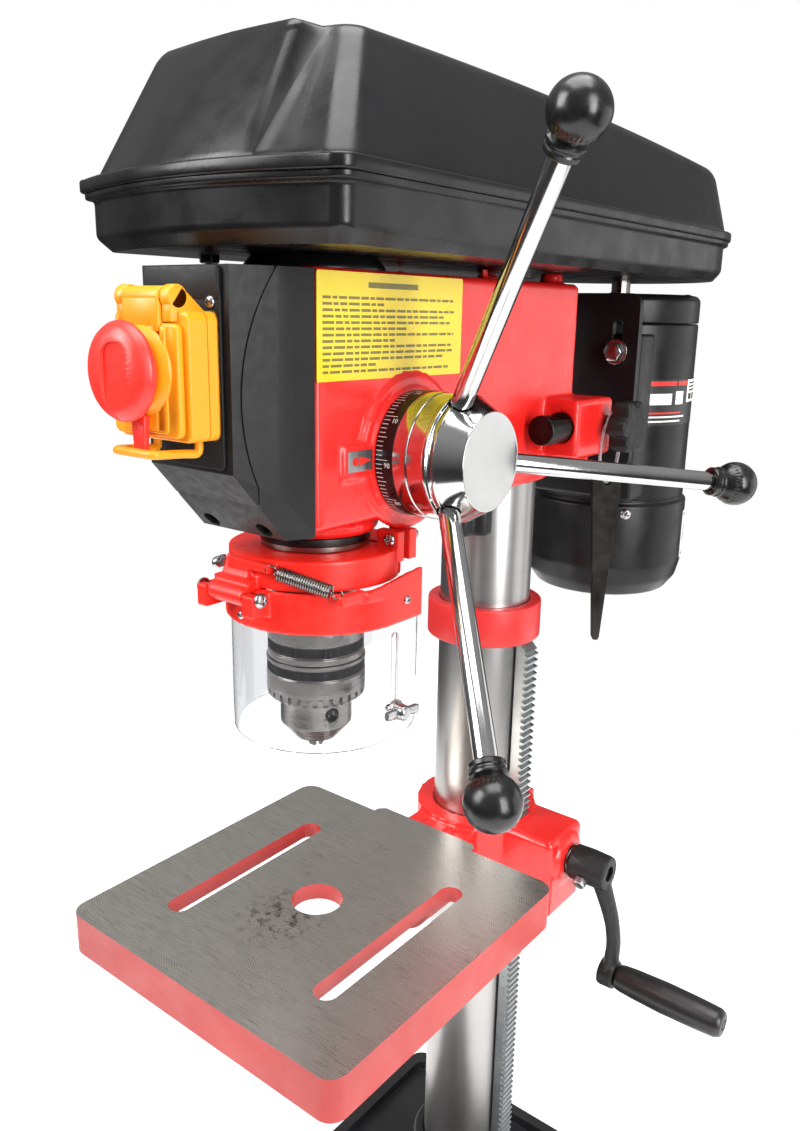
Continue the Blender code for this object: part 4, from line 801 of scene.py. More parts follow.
def make_head():
    """The head casting with the dial's lip and the pointer's pad grown into it."""
    face = CHEEK
    ring = turn("dial_lip", [(34, 0), (40.5, 0), (39, 2.6), (36.5, 3.0), (34, 2.6)], RED, axis=RIGHT,
                centre=(face - 1, FEED_Y, FEED_Z), ease=1)
    pad = block("pointer_pad", (face - 3, FEED_Y - 53, FEED_Z - 9), (face + 2.4, FEED_Y - 28, FEED_Z + 8),
                soft=1.5)
    webs = []
    for side in SIDES:
        lug_low, lug_high = (30, 60) if side > 0 else (-60, -30)
        webs.append(block(f"lug_web_{side}", (lug_low, 18, 602.5), (lug_high * 0.9, 32, 610), soft=1))
    head = cast("head_casting_skin", 1.25, 5, 0.32, RED, copy_of("head_casting"), ring, pad, *webs)
    show(roughen(head, 0.1, 5), "frame", "red_paint", "head_casting")
    plate = block("pointer_plate", (face + 2.2, FEED_Y - 50.5, FEED_Z - 5),
                  (face + 2.9, FEED_Y - 33, FEED_Z + 5), PLATE_GREY, soft=0.15)
    mark_x = face + 2.85
    dot = drill(2.1, (mark_x, FEED_Y - 45.6, FEED_Z), (mark_x + 0.2, FEED_Y - 45.6, FEED_Z), PRINT_RED,
                sides=32)
    arrow = [(FEED_Y - 43, FEED_Z - 2.4), (FEED_Y - 34, FEED_Z), (FEED_Y - 43, FEED_Z + 2.4)]
    tip = prism("pointer_arrow", arrow, "X", mark_x, mark_x + 0.2, PRINT_RED)
    show(gather("dial_pointer", plate, dot, tip), "frame", "bright_steel")


def make_label():
    """A yellow notice panel with plain grey bars in the place of its text."""
    low, high = (-205.2, 662.5), (-93.4, 711)
    x = CHEEK - 0.25
    face, ink = x + 0.42, x + 0.5
    panel = prism("notice_panel", rounded(low, high, 1.0, 3), "X", x, x + 0.45, LABEL)
    heading = slab((x + 0.4, -170, 704.2), (ink, -132, 706.8), PRINT_GREY)
    first_line, line_step, line_height = 700.2, 2.75, 1.25
    left, full_line, gap = -201.5, 104, 1.1
    shares = (0.96, 0.42, 0.97, 0.9, 0.94, 0.6, 0.97, 0.5, 0.95, 0.97, 0.88, 0.36, 0.93)
    bars = []
    for i, share in enumerate(shares):
        top = first_line - i * line_step
        end = left + full_line * share
        start = left
        k = 0
        while start < end - 1:
            width = 3.2 + 4.6 * (0.5 + 0.5 * math.sin(i * 12.9 + k * 4.7))
            stop = min(start + width, end)
            bars.append(slab((face, start, top - line_height), (ink, stop, top), PRINT_GREY))
            start = stop + gap
            k += 1
    show(gather("notice_label", panel, heading, *bars), "frame", "yellow_plastic")


def nose(name, deep, back):
    """The nose, deep inside its own skin: drawn-in cheeks, a slope below and a corner off each side."""
    front = COVER_LOW.y + deep
    top = COVER_HIGH.z - deep
    side = [(back, top), (front, top), (front, SLOPE_TOP + deep * 0.4),
            (SLOPE_FOOT.y + deep * 0.4, SLOPE_FOOT.z + deep), (back, SLOPE_FOOT.z + 1 + deep)]
    body = prism(name, side, "X", -60, 60, BLACK_PLASTIC)
    half = COVER_HIGH.x - deep
    plan = [(half, back), (half, -219), (half - 1.8, -226), (28 - deep, front)]
    plan += [(-x, y) for x, y in reversed(plan)]
    boolean(body, "INTERSECT", prism(f"{name}_plan", plan, "Z", 540, 760))
    for turned in (-1, 1):
        facing = Vector((turned * 0.66, -0.56, -0.49)).normalized()
        spot = Vector((turned * SLOPE_FOOT.x, SLOPE_FOOT.y, SLOPE_FOOT.z)) - facing * deep
        cut(body, drill(60, spot, spot + facing * 40, sides=24))
    return body


def make_front_cover():
    back = COVER_HIGH.y
    cover = nose("front_cover_moulding", 0, back)
    inner = nose("cover_core", 0.7, back + 5)
    groove_centre, groove_radius, groove_width = (-134.0, 655.0), 109.5, 0.9
    band = prism("cheek_groove", circle(groove_radius, 160, groove_centre), "X", -60, 60)
    hole = prism("cheek_groove_hole", circle(groove_radius - groove_width, 160, groove_centre), "X", -70, 70)
    cut(band, hole)
    keep = slab((-70, COVER_LOW.y + 3.4, 560), (70, COVER_HIGH.y + 1, 740))
    boolean(band, "INTERSECT", keep)
    cut(band, inner)
    cut(cover, band)
    fall = Vector((0, SLOPE_FOOT.y - COVER_LOW.y, SLOPE_FOOT.z - SLOPE_TOP)).normalized()
    out = Vector((0, fall.z, -fall.y))
    well_radius, well_deep, above_foot = 4.6, 4.5, 5.5
    spots = [Vector((side * SLOPE_SCREW_X, SLOPE_FOOT.y, SLOPE_FOOT.z)) - fall * above_foot for side in SIDES]
    cut(cover, *(drill(well_radius, spot - out * 9, spot + out * 9, PRINT_BLACK, sides=40)
                 for side, spot in zip(SIDES, spots)))
    show(bevel(cover, 0.7, 2, 28), "frame", "black_plastic", "front_cover")
    screws = [cross_screw(f"cover_screw_{side}", spot - out * well_deep, out, 3.2, DARK)
              for side, spot in zip(SIDES, spots)]
    show(gather("cover_screws", *screws), "frame", "dark_steel")
    low, high = span("switch_plate")
    plate = prism("switch_mounting", rounded((low.x, low.z), (high.x, high.z), 2.5), "Y", low.y + 0.7, high.y,
                  BLACK_PLASTIC, soft=0.4)
    strip = prism("switch_strip", rounded((low.x, high.z - 13.5), (high.x, high.z), 2), "Y", low.y,
                  high.y - 0.4, BLACK_PLASTIC, soft=0.4)
    show(gather("switch_mounting_plate", plate, strip), "frame", "black_plastic", "switch_plate")
    head = [cross_screw(f"plate_screw_{s}", (s * 18.5, low.y + 0.7, 696.3), FORWARD, 2.7, BRIGHT)
            for s in SIDES]
    show(gather("plate_screws", *head), "frame", "zinc_steel")


def make_switch():
    """The switch: a case with two wells, a hinged lid with a domed ring, and the stop head with its latch."""
    back = span("switch_box")[1].y
    case = prism("switch_case_body", rounded((-24.3, 639), (24.3, 692.5), 4), "Y", SWITCH_CASE_FRONT, back,
                 YELLOW, soft=1.4)
    seam = prism("switch_seam", rounded((-26, 637), (26, 694), 4), "Y", back - 6.4, back - 5.9)
    core = prism("switch_seam_core", rounded((-23.7, 639.6), (23.7, 691.9), 4), "Y", back - 8, back - 4)
    cut(seam, core)
    bake(case)
    cut(case, seam)
    well = 8.1
    wells = [slab((-10.1, -272, z - well), (10.1, -254, z + well)) for z in BUTTON_Z]
    cut(case, *wells)
    ears = []
    arm_outline = [(-263, 702.4), (back - 1, 692), (back - 1, 688), (-269, 688), (-269, 695)]
    for side in SIDES:
        start, end = side * 15 - 3, side * 15 + 3
        ear = prism(f"ear_{side}", circle(5.0, 40, (-265, LID_PIN[1])), "X", start, end, YELLOW, soft=0.7)
        arm = prism(f"ear_arm_{side}", arm_outline, "X", start, end, YELLOW, soft=0.7)
        ears += [bake(ear), bake(arm)]
    hoop = [(14, back - 4, 640.5), (14, back - 4, 632.8), (13, -262, 633.6), (13, -277, 634.4),
            (-13, -277, 634.4), (-13, -262, 633.6), (-14, back - 4, 632.8), (-14, back - 4, 640.5)]
    loop = sweep("catch_loop", [Vector(p) for p in eased(hoop, 2.5)], 1.9, YELLOW, sides=16, up=(1, 0, 0))
    rib = prism("case_gasket", rounded((-24.2, 638.6), (24.2, 692.9), 4.2), "Y", back - 1.2, back + 0.1,
                CLEAR, soft=0.3)
    show(gather("switch_case", case, *ears, loop), "frame", "yellow_plastic", "switch_box")
    show(rib, "frame", "clear_plastic")
    for name, paint, slot in (("off_button", STOP_RED, "red_plastic"),
                              ("start_button", GREEN, "green_plastic")):
        b_low, b_high = span(name)
        key = prism(f"{name}_key", rounded((b_low.x, b_low.z), (b_high.x, b_high.z), 1.6), "Y", b_low.y,
                    b_high.y, paint, soft=0.9)
        show(key, name, slot, name)
    make_switch_lid()


def make_switch_lid():
    """The lid with its domed ring on the pin, and the stop head that passes through it."""
    plate = prism("lid_plate", rounded((-22, 641), (22, 687.5), 3.5), "Y", -270, -266.3, YELLOW, soft=1.0)
    step = prism("lid_step", rounded((-15.5, 642.5), (15.5, 686.5), 2.5), "Y", -271, -269, YELLOW, soft=0.9)
    dents = []
    for z in (648, 682.5):
        dents.append(slab((8.5, -275, z - 4), (13, -269.4, z + 6)))
    bake(plate)
    fuse(plate, bake(step))
    cut(plate, *dents)
    ring = turn("lid_ring", [(6.6, 0), (19, 0), (18.4, 1.4), (15.8, 4), (6.6, 4)], YELLOW, axis=FORWARD,
                centre=(0, -270, STOP_Z), ease=1.6)
    fuse(plate, ring)
    cut(plate, drill(6.5, (0, -290, STOP_Z), (0, -250, STOP_Z)))
    knuckle = rod("lid_knuckle", 4.3, (-11.7, *LID_PIN), (11.7, *LID_PIN), YELLOW, ease=0.8)
    web = block("lid_web", (-11.7, -270.8, 684), (11.7, -267, LID_PIN[1]), YELLOW)
    pin = rod("lid_pin", 1.9, (-16.5, *LID_PIN), (16.5, *LID_PIN), YELLOW, ease=0.4)
    show(gather("switch_flap", bevel(plate, 0.5, 2), knuckle, web, pin), "switch_lid", "yellow_plastic",
         "switch_lid")
    top = span("stop_button")[0].y
    stem = drill(6, (0, -267.5, STOP_Z), (0, -279, STOP_Z), STOP_RED)
    head = turn("stop_head_disc", [(0, 0), (18.4, 0), (20.6, 1.6), (20.6, 3.6), (18.6, 6.6), (16, 8.2),
                                   (9, 10.2), (0, 11)], STOP_RED, axis=FORWARD,
                centre=(0, top + 11.2, STOP_Z), ease=1.0, sides=128)
    outline = eased_plan([(-4.5, 650), (11.5, 650), (11.5, 680), (-4.5, 680)], 7.9, 8)
    thumb = prism("thumb_cut", outline, "Y", -295, top + 2.6)
    cut(head, thumb)
    bevel(head, 0.5, 3, 34)
    tongue = eased_plan([(-4.6, 650), (4.6, 650), (3.4, 632.5), (-3.4, 632.5)], 1)
    latch = prism("stop_latch", tongue, "Y", -274.5, -271.4, STOP_RED, soft=0.7)
    show(gather("stop_head", head, stem, latch), "stop_button", "red_plastic", "stop_button")


# ---------------------------------------------------------------- belt cover and drive

def straight(start, end, count):
    """Points between two ends, without the ends."""
    return [(start[0] + (end[0] - start[0]) * i / (count + 1),
             start[1] + (end[1] - start[1]) * i / (count + 1)) for i in range(1, count + 1)]


def cover_line(half, front, rear_centre, rear_radius, corner=16.0, bulge=14.0):
    """The belt cover's plan: straight sides, a front that bows out and a round rear."""
    inner = half - corner
    bow = [(inner * t, front - bulge * (1 - t * t)) for t in (-1 + i / 8 for i in range(1, 16))]
    return [*arc(rear_radius, (0, rear_centre), 0, 180, 48),
            *straight((-rear_radius, rear_centre), (-half, front + corner), 19),
            *arc(corner, (-inner, front + corner), 180, 90, 8), *bow,
            *arc(corner, (inner, front + corner), 270, 90, 8),
            *straight((half, front + corner), (rear_radius, rear_centre), 19)]


def level(outline, height):
    """An outline at a height, which may be a function of Y."""
    return [(x, y, height(y) if callable(height) else height) for x, y in outline]


def crown(y):
    """Height of the cover's top, falling faster towards the rear."""
    share = max(0.0, min(1.1, (y - CROWN_FRONT) / COVER_LENGTH))
    return LID_HIGH.z - TOP_FALL * share * share


def lid_foot(wall):
    """The cover's outline where it meets its rim; point for point it matches lid_crown."""
    half = PAN_HIGH.x - 3 - wall
    front = COVER_FRONT + 3 + wall
    corner, bulge = 14.0, 14
    inner = half - corner
    before_crease = [-inner + (CREASE_FOOT - 0.5 + inner) * (i + 1) / 16 for i in range(16)]
    bow = [(x, front - bulge * (1 - (x / inner) ** 2)) for x in (*before_crease, CREASE_FOOT,
                                                                 CREASE_FOOT + 0.4, 50, 58)]
    return [*arc(half, (0, REAR_Y), 0, 180, 48), *straight((-half, REAR_Y), (-half, front + corner), 19),
            *arc(corner, (-inner, front + corner), 180, 90, 8), *bow,
            *arc(corner, (inner, front + corner), 270, 90, 8),
            *straight((half, front + corner), (half, REAR_Y), 19)]


def lid_crown(spread):
    """The cover's top edge: a flat front panel whose right end stands ahead of the side's own corner."""
    rear, rear_y = 70 + spread, REAR_Y - 4
    front = CROWN_FRONT - spread
    left, edge, right = -47 - spread, 38 + spread * 0.5, 44.5 + spread
    panel = [(left + (85 + spread * 1.5) * t, front + 4 - 4 * t - 2.5 * math.sin(math.pi * t))
             for t in ((i + 1) / 16 for i in range(16))]
    step = [(edge + x, front + y) for x, y in ((0.8, 3), (2.0, 14.2), (3.6, 15.2), (5.4, 15.6))]
    return [*arc(rear, (0, rear_y), 0, 180, 48), *straight((-rear, rear_y), (left - 5, front + 9), 19),
            *arc(5, (left, front + 9), 180, 90, 8), *panel, *step,
            *arc(9.5, (right, front + 25.5), 270, 90, 8), *straight((right + 9.5, front + 25.5),
                                                                    (rear, rear_y), 19)]


def lid_rings(wall):
    """Rings from the cover's foot over its top; a wall draws them in, and starts them lower, as a tool."""
    foot = lid_foot(wall)
    bottom = LID_LOW.z - (5.0 if wall else 0.0)
    top = lid_crown(-wall)
    rings = [level(foot, bottom), level(foot, LID_LOW.z + 6.5),
             level(lid_crown(3 - wall), lambda y: crown(y) - 4 - wall)]
    for share in (1, 0.5, 0.02):
        rings.append(level([(x * share, y) for x, y in top], lambda y: crown(y) - wall))
    return rings


def make_belt_cover():
    """The hinged lid over its pan, and the fasteners below."""
    lid = loft("belt_cover_lid", lid_rings(0), BLACK, ease=3)
    reach = LID_HIGH.x
    front = LID_LOW.y + 14
    rim = prism("lid_rim", cover_line(reach, front, REAR_Y, reach, 9), "Z", LID_LOW.z, LID_LOW.z + 6, BLACK,
                soft=1.3)
    fuse(lid, bake(rim))
    cut(lid, loft("lid_inside", lid_rings(2.4), ease=4))
    show(lid, "belt_lid", "black_paint", "belt_lid")
    out = Vector((0.42, 0, 0.9)).normalized()
    washer = turn("lid_screw_washer", [(0, 0), (6.4, 0), (6.4, 0.9), (0, 0.9)], BRIGHT, ease=0.3)
    put_at(washer, LID_SCREW, out)
    screw = cross_screw("lid_screw_head", Vector(LID_SCREW) + out * 0.9, out, 4.2, BRIGHT)
    show(gather("lid_screw", washer, screw), "belt_lid", "zinc_steel")

    foot = cover_line(76, COVER_FRONT + 8, REAR_Y, 76, 9)
    wall = cover_line(81, COVER_FRONT + 3, REAR_Y, 81, 9)
    edge = cover_line(PAN_HIGH.x, COVER_FRONT, REAR_Y, PAN_HIGH.x, 9)
    rings = [level(foot, PAN_LOW.z), level(wall, PAN_LOW.z + 6), level(wall, PAN_HIGH.z - 3.2),
             level(edge, PAN_HIGH.z - 2.6), level(edge, PAN_HIGH.z)]
    pan = loft("cover_pan", rings, BLACK, ease=2.2)
    deep = cover_line(70, COVER_FRONT + 14, REAR_Y, 70)
    wide = cover_line(75, COVER_FRONT + 9, REAR_Y, 75)
    inside = loft("cover_pan_inside", [level(deep, PAN_LOW.z + 3), level(wide, PAN_LOW.z + 8),
                                       level(wide, PAN_HIGH.z + 5)], ease=2)
    arm_low, arm_high = span("idler_arm")
    arm_round = 11
    pivot_x, pivot_y = arm_high.x - arm_round, arm_low.y + arm_round
    holes = [drill(16, (0, SPINDLE_Y, 700), (0, SPINDLE_Y, 730)),
             drill(6.3, (pivot_x, pivot_y, 700), (pivot_x, pivot_y, 730)),
             prism("pan_slot", rounded((-10, MOTOR_Y - 26), (10, MOTOR_Y + 17), 9.9), "Z", 700, 730)]
    cut(pan, inside, *holes)
    show(pan, "frame", "black_paint", "belt_pan")
    fasteners = [hex_bolt(f"pan_bolt_{x}_{y}", (x, y, PAN_LOW.z + 3), UPWARD, 8, 3.4, BRIGHT, 7)
                 for x, y in ((-24, -60), (24, -60), (-24, 24), (24, 24))]
    x, y = -42, -196
    stud = rod("pan_stud", 2.2, (x, y, 706), (x, y, PAN_LOW.z + 1), DARK, sides=24)
    nut = hex_bolt("pan_stud_nut", (x, y, PAN_LOW.z), (0, 0, -1), 9, 4, DARK)
    show(gather("pan_fasteners", *fasteners), "frame", "zinc_steel")
    show(gather("pan_stud_with_nut", stud, nut), "frame", "dark_steel")
    bush = turn("pan_bush", [(QUILL_HIGH.x - 4, 712), (35, 712), (35, 714), (31, PAN_LOW.z - 0.1),
                             (QUILL_HIGH.x - 4, PAN_LOW.z - 0.1)], BLACK, centre=SPINDLE, ease=1)
    show(bush, "frame", "black_paint")


def make_pulley(node, name, steps, bore, body):
    """A stepped pulley with a V groove in each step, the first step lowest."""
    centre = middle(node)
    rise = 11.0
    profile = [(bore, PULLEY_LOW)]
    for i, radius in enumerate(steps):
        low = PULLEY_LOW + i * rise
        profile += [(radius, low), (radius, low + 1.2), (radius - 4, low + rise / 2 - 2),
                    (radius - 4, low + rise / 2 + 2), (radius, low + rise - 1.2), (radius, low + rise)]
    profile.append((bore, PULLEY_LOW + rise * len(steps)))
    made = turn(name, profile, ALLOY, centre=(0, centre.y, 0), ease=0.35)
    show(made, body, "pulley_alloy", node)


def make_belt(node, name, first, second, y_near, y_far):
    """A flat-topped V belt round two pulleys, its grooves' radii given."""
    def loop(extra):
        near, far = first + extra, second + extra
        lean = math.degrees(math.asin((near - far) / (y_far - y_near)))
        return [*arc(far, (0, y_far), lean, 180 - 2 * lean, 48),
                *arc(near, (0, y_near), 180 - lean, 180 + 2 * lean, 48)]
    outer, inner = loop(4.5), loop(0.0)
    z = middle(node).z
    rings = [level(inner, z - 1.1), level(outer, z - 1.7), level(outer, z + 1.7), level(inner, z + 1.1)]
    rings.append(rings[0])
    made = loft(name, rings, RUBBER, caps=False)
    show(made, "frame", "belt_rubber", node)


def make_drive():
    """Pulleys, belts, idler arm and spindle, all under the cover."""
    make_pulley("spindle_pulley", "spindle_cone_pulley", (54.0, 44.0, 35.0, 27.0), 9.3, "spindle_pulley")
    make_pulley("idler_pulley", "idler_cone_pulley", (28.0, 38.0, 46.0, 52.0), 6.3, "idler_pulley")
    make_pulley("motor_pulley", "motor_cone_pulley", (32.0, 28.0, 24.0, 20.0), 7.3, "motor_pulley")
    make_belt("front_belt", "front_v_belt", 41.0, 35.0, SPINDLE_Y, IDLER_Y)
    make_belt("rear_belt", "rear_v_belt", 43.0, 21.0, IDLER_Y, MOTOR_Y)
    carried("idler_arm", "idler_swing_arm", "idler_arm", "dark_steel", DARK, 0.5, 2)
    low, high = span("spindle")
    bar = turn("splined_spindle", [(0, low.z), (10, low.z), (10, low.z + 18), (16, low.z + 18),
                                   (16, low.z + 31.5), (11.7, low.z + 31.5), (11.7, 700), (9, 702),
                                   (9, high.z), (0, high.z)], STEEL, centre=SPINDLE, ease=0.5)
    show(bar, "spindle", "bright_steel", "spindle")


# ---------------------------------------------------------------- motor

def curved_patch(name, radius, thick, first, last, low, high, *paints):
    """A thin sheet on the motor's barrel, between two angles from +X."""
    inner, outer = (arc(r, (0, MOTOR_Y), first, last - first, 24) for r in (radius, radius + thick))
    return prism(name, inner + outer[::-1], "Z", low, high, *paints)


def make_motor():
    """The motor on its plate and slide bars."""
    low, high = MOTOR_LOW.z, MOTOR_HIGH.z
    vent_count, bolt_x, bar_x, bar_z = 18, 35.5, 50, 627
    barrel = turn("motor_barrel_with_foot", [(0, low), (40, low), (51, low + 3), (58.5, low + 13),
                                             (BELL_R, low + 26), (BELL_R, 557.6), (59, 559.2), (59, 560.6),
                                             (58.4, 561), (58.4, 561.8), (59, 562.2), (59, high), (0, high)],
                  BLACK_MOTOR, centre=MOTOR, sides=160, ease=1.8)
    vents = []
    for i in range(vent_count):
        angle = 2 * math.pi * i / vent_count
        vent = prism(f"vent_{i}", rounded((22, -1.6), (46, 1.6), 1.5, 4), "Z", low - 3, low + 5)
        vent.data.transform(Matrix.Translation((0, MOTOR_Y * MM, 0)) @ Matrix.Rotation(angle, 4, "Z"))
        vents.append(vent)
    cut(barrel, gather("vents", *vents))
    pad = block("motor_pad", (-51, PLATE_BACK + 0.3, 566), (51, 128, 682), BLACK_MOTOR, soft=2.5, segments=4)
    hollow = drill(51, (0, MOTOR_Y, low + 10), (0, MOTOR_Y, 700), sides=96)
    bake(pad)
    fuse(barrel, pad)
    cut(barrel, hollow)
    show(barrel, "motor", "black_paint", "motor_body")
    cap_high = span("motor_cap")[1].z
    cap = turn("motor_end_cap", [(8, high + 5), (50, high + 3), (50, high + 0.3), (59, high + 0.3),
                                 (59, cap_high - 4), (56.5, cap_high - 0.8), (52, cap_high), (8, cap_high)],
               BLACK_MOTOR, centre=MOTOR, ease=1.6, sides=128)
    show(cap, "motor", "black_paint", "motor_cap")
    screws = []
    for i in range(4):
        a = math.radians(20 + 90 * i)
        spot = around(MOTOR_Y, 49, a, cap_high - 1.4)
        screws.append(cross_screw(f"cap_screw_{i}", spot, UPWARD, 3.4, ZINC))
    show(gather("motor_cap_screws", *screws), "motor", "zinc_steel")

    carried("motor_shaft", "motor_rotor_shaft", "motor_pulley", "bright_steel", STEEL, 0.3, 1)

    box = block("terminal_lid", (56, -21, 618), (71, 21, 680), BLACK_PLASTIC, soft=2.2, segments=4)
    flange = block("terminal_foot", (53, -20, 620), (58, 20, 678), BLACK_PLASTIC, soft=0.5)
    parts = [box, flange]
    for z in (626, 672):
        parts.append(cross_screw(f"terminal_screw_{z}", (71, 0, z), RIGHT, 2.8, DARK))
    whole = gather("terminal_cover", *parts)
    whole.data.transform(Matrix.Translation((0, MOTOR_Y * MM, 0)) @ Matrix.Rotation(math.radians(90), 4, "Z"))
    show(whole, "motor", "black_plastic", "terminal_box")

    plate = prism("motor_mount_plate", eased_plan([(-51, 590), (51, 590), (51, 709), (-51, 709)], 9, 8), "Y",
                  PLATE_BACK - 5, PLATE_BACK, BLACK_MOTOR)
    tools = [prism(f"plate_slot_{x}", rounded((x - 3.5, 672), (x + 3.5, 692), 3.49), "Y", 80, 130)
             for x in (-bolt_x, bolt_x)]
    cut(plate, *tools)
    show(bevel(plate, 0.5, 2), "motor", "black_paint", "motor_plate")
    bolts = [hex_bolt(f"plate_bolt_{x}", (x, PLATE_BACK - 5, 670), FORWARD, 12, 6, BRIGHT, 8.5)
             for x in (-bolt_x, bolt_x)]
    bolts.append(cross_screw("plate_screw", (45, 113.5, 555), (0.4, -0.9, 0), 4.0, BRIGHT))
    show(gather("motor_bolts", *bolts), "motor", "zinc_steel")
    for side, node in ((1, "slide_bar_right"), (-1, "slide_bar_left")):
        b_low, b_high = span(node)
        x, z = side * bar_x, bar_z
        bar = rod(node + "_rod", b_high.x - x if side > 0 else x - b_low.x, (x, b_low.y, z), (x, b_high.y, z),
                  DARK, ease=1.2)
        cut(bar, slab((x - 15, -18, z + 6.5), (x + 15, -2, z + 15)))
        show(bevel(bar, 0.3, 1), "motor", "dark_steel", node)
    make_motor_labels()


def make_motor_labels():
    """Plain label panels with bars and blocks where the rating label stood."""
    radius = SHELL_R - 0.05
    rating = [curved_patch("rating_dark", radius, 0.3, -44, 24, 617, 650, PRINT_BLACK),
              curved_patch("rating_white", radius, 0.34, 0, 23, 633, 649.4, PRINT_WHITE)]
    marks = ((-42, -15, 645.6, 648.8, PRINT_RED), (-13, -2, 645.6, 648.8, PRINT_RED),
             (-40, -19, 632, 640, PRINT_WHITE), (-15, -6, 632, 641.5, PRINT_WHITE),
             (-40, -8, 625.4, 626.6, PRINT_RED), (-42, -3, 622.6, 623.8, PRINT_WHITE),
             (-42, -8, 619.4, 620.6, PRINT_WHITE), (3, 20, 646.4, 647.4, PRINT_BLACK),
             (3, 17, 643.8, 644.8, PRINT_BLACK), (3, 20, 641.2, 642.2, PRINT_BLACK),
             (3, 9, 635, 639.4, PRINT_BLACK), (12, 20, 635, 639.4, PRINT_BLACK))
    for i, (start, end, low, high, paint) in enumerate(marks):
        rating.append(curved_patch(f"rating_mark_{i}", radius, 0.46, start, end, low, high, paint))
    show(gather("motor_rating_label", *rating), "motor", "black_plastic")
    sign_radius = BELL_R - 0.05
    sign = [curved_patch("sign_white", sign_radius, 0.3, 11, 33, 512, 549, PRINT_WHITE)]
    for i, (start, end, low, high) in enumerate(((13, 31, 545.5, 546.7), (13, 31, 514, 515.2),
                                                 (18, 26, 524, 537))):
        sign.append(curved_patch(f"sign_mark_{i}", sign_radius, 0.4, start, end, low, high, PRINT_BLACK))
    show(gather("motor_sign", *sign), "motor", "black_plastic")


def make_head_knobs():
    """The belt tension knob with the drift key tied to it, and the motor's lock knob."""
    low, high = span("tension_knob")
    y, z = middle("tension_knob").yz
    knob = prism("tension_star", lobed(17, 4.5, 6, (y, z)), "X", high.x - 12, high.x, BLACK_PLASTIC, soft=2.2,
                 segments=5)
    boss = turn("tension_boss", [(0, 0), (8.5, 0), (7.5, 5), (0, 5)], BLACK_PLASTIC, axis=RIGHT,
                centre=(high.x - 15.5, y, z), ease=0.6)
    stem = rod("tension_stem", 6, (low.x, y, z), (high.x - 11, y, z), DARK)
    show(gather("tension_star_knob", knob, boss, stem), "tension_knob", "black_plastic", "tension_knob")
    k_low, k_high = span("drift_key")
    key_x, key_y = middle("drift_key").xy
    top, tip = k_high.z, k_low.z
    outline = [(-8.5, top), (8.5, top), (10, top - 3), (2.5, tip + 2), (1.5, tip), (-1.5, tip),
               (-2.5, tip + 2), (-10, top - 3)]
    outline = eased_plan(outline, 1.4, 5)
    key = prism("drift_wedge", outline, "X", -2.5, 2.5, KEY_STEEL)
    cut(key, drill(3, (-10, 0, top - 9), (10, 0, top - 9)))
    key.data.transform(Matrix.Translation((key_x * MM, key_y * MM,
                                           0)) @ Matrix.Rotation(math.radians(-52), 4, "Z"))
    show(bevel(key, 0.5, 3), "drift_key", "dark_steel", "drift_key")
    hoop = []
    high, low, stem_x = z + 7.4, top - 9 - 1.6, 66.2
    for i in range(44):
        a = 2 * math.pi * i / 44
        down = 0.5 - 0.5 * math.cos(a)
        centre_x = stem_x + (key_x - stem_x) * down
        hoop.append((centre_x + 2.2 * math.sin(a), y + (key_y - y) * down + 8.6 * math.sin(a),
                     high + (low - high) * down))
    tie = sweep("key_tie", hoop, 1.3, TIE, sides=10, closed=True, flat=0.45, up=(1, 0, 0))
    show(tie, "drift_key", "clear_plastic")
    d_low, d_high = span("depth_lock_knob")
    dx, dy = middle("depth_lock_knob").xy
    star = prism("depth_star", lobed(16, 4, 5, (dx, dy)), "Z", d_low.z, d_low.z + 16, BLACK_PLASTIC, soft=2.4,
                 segments=5)
    screw = rod("depth_screw", 4, (dx, dy, d_low.z + 12), (dx, dy, d_high.z), DARK)
    show(gather("depth_lock_star", star, screw), "depth_lock_knob", "black_plastic", "depth_lock_knob")


# ---------------------------------------------------------------- quill and chuck

def make_quill():
    """The quill with the rack's teeth cut in its back, and the band on its flange."""
    low, high = QUILL_LOW.z, QUILL_HIGH.z
    r, flange = 25.0, QUILL_HIGH.x
    quill = turn("quill_with_rack", [(12, low), (r - 0.5, low), (r, low + 1), (r, low + 25),
                                     (flange, low + 25), (flange, low + 31.7), (r, low + 31.7), (r, high),
                                     (12, high)], STEEL, centre=SPINDLE, ease=0.5, sides=128)
    tip = 19.5 + ADDENDUM
    first = FEED_Z - 3.5 * TOOTH_PITCH
    edge = [(SPINDLE_Y + depth, z) for depth, z in tooth_edge(tip, first, 20)]
    outline = [(SPINDLE_Y + 40, first - 2), (SPINDLE_Y + tip, first - 2), *edge,
               (SPINDLE_Y + tip, edge[-1][1] + 2), (SPINDLE_Y + 40, edge[-1][1] + 2)]
    cut(quill, prism("quill_teeth", outline, "X", -18, 18))
    band = turn("quill_band", [(r + 0.2, low + 27.6), (flange + 0.25, low + 27.6),
                               (flange + 0.25, low + 31.9), (r + 0.2, low + 31.9)], DARK, centre=SPINDLE,
                ease=0.5, sides=128)
    show(band, "quill", "dark_steel")
    show(quill, "quill", "bright_steel", "quill")


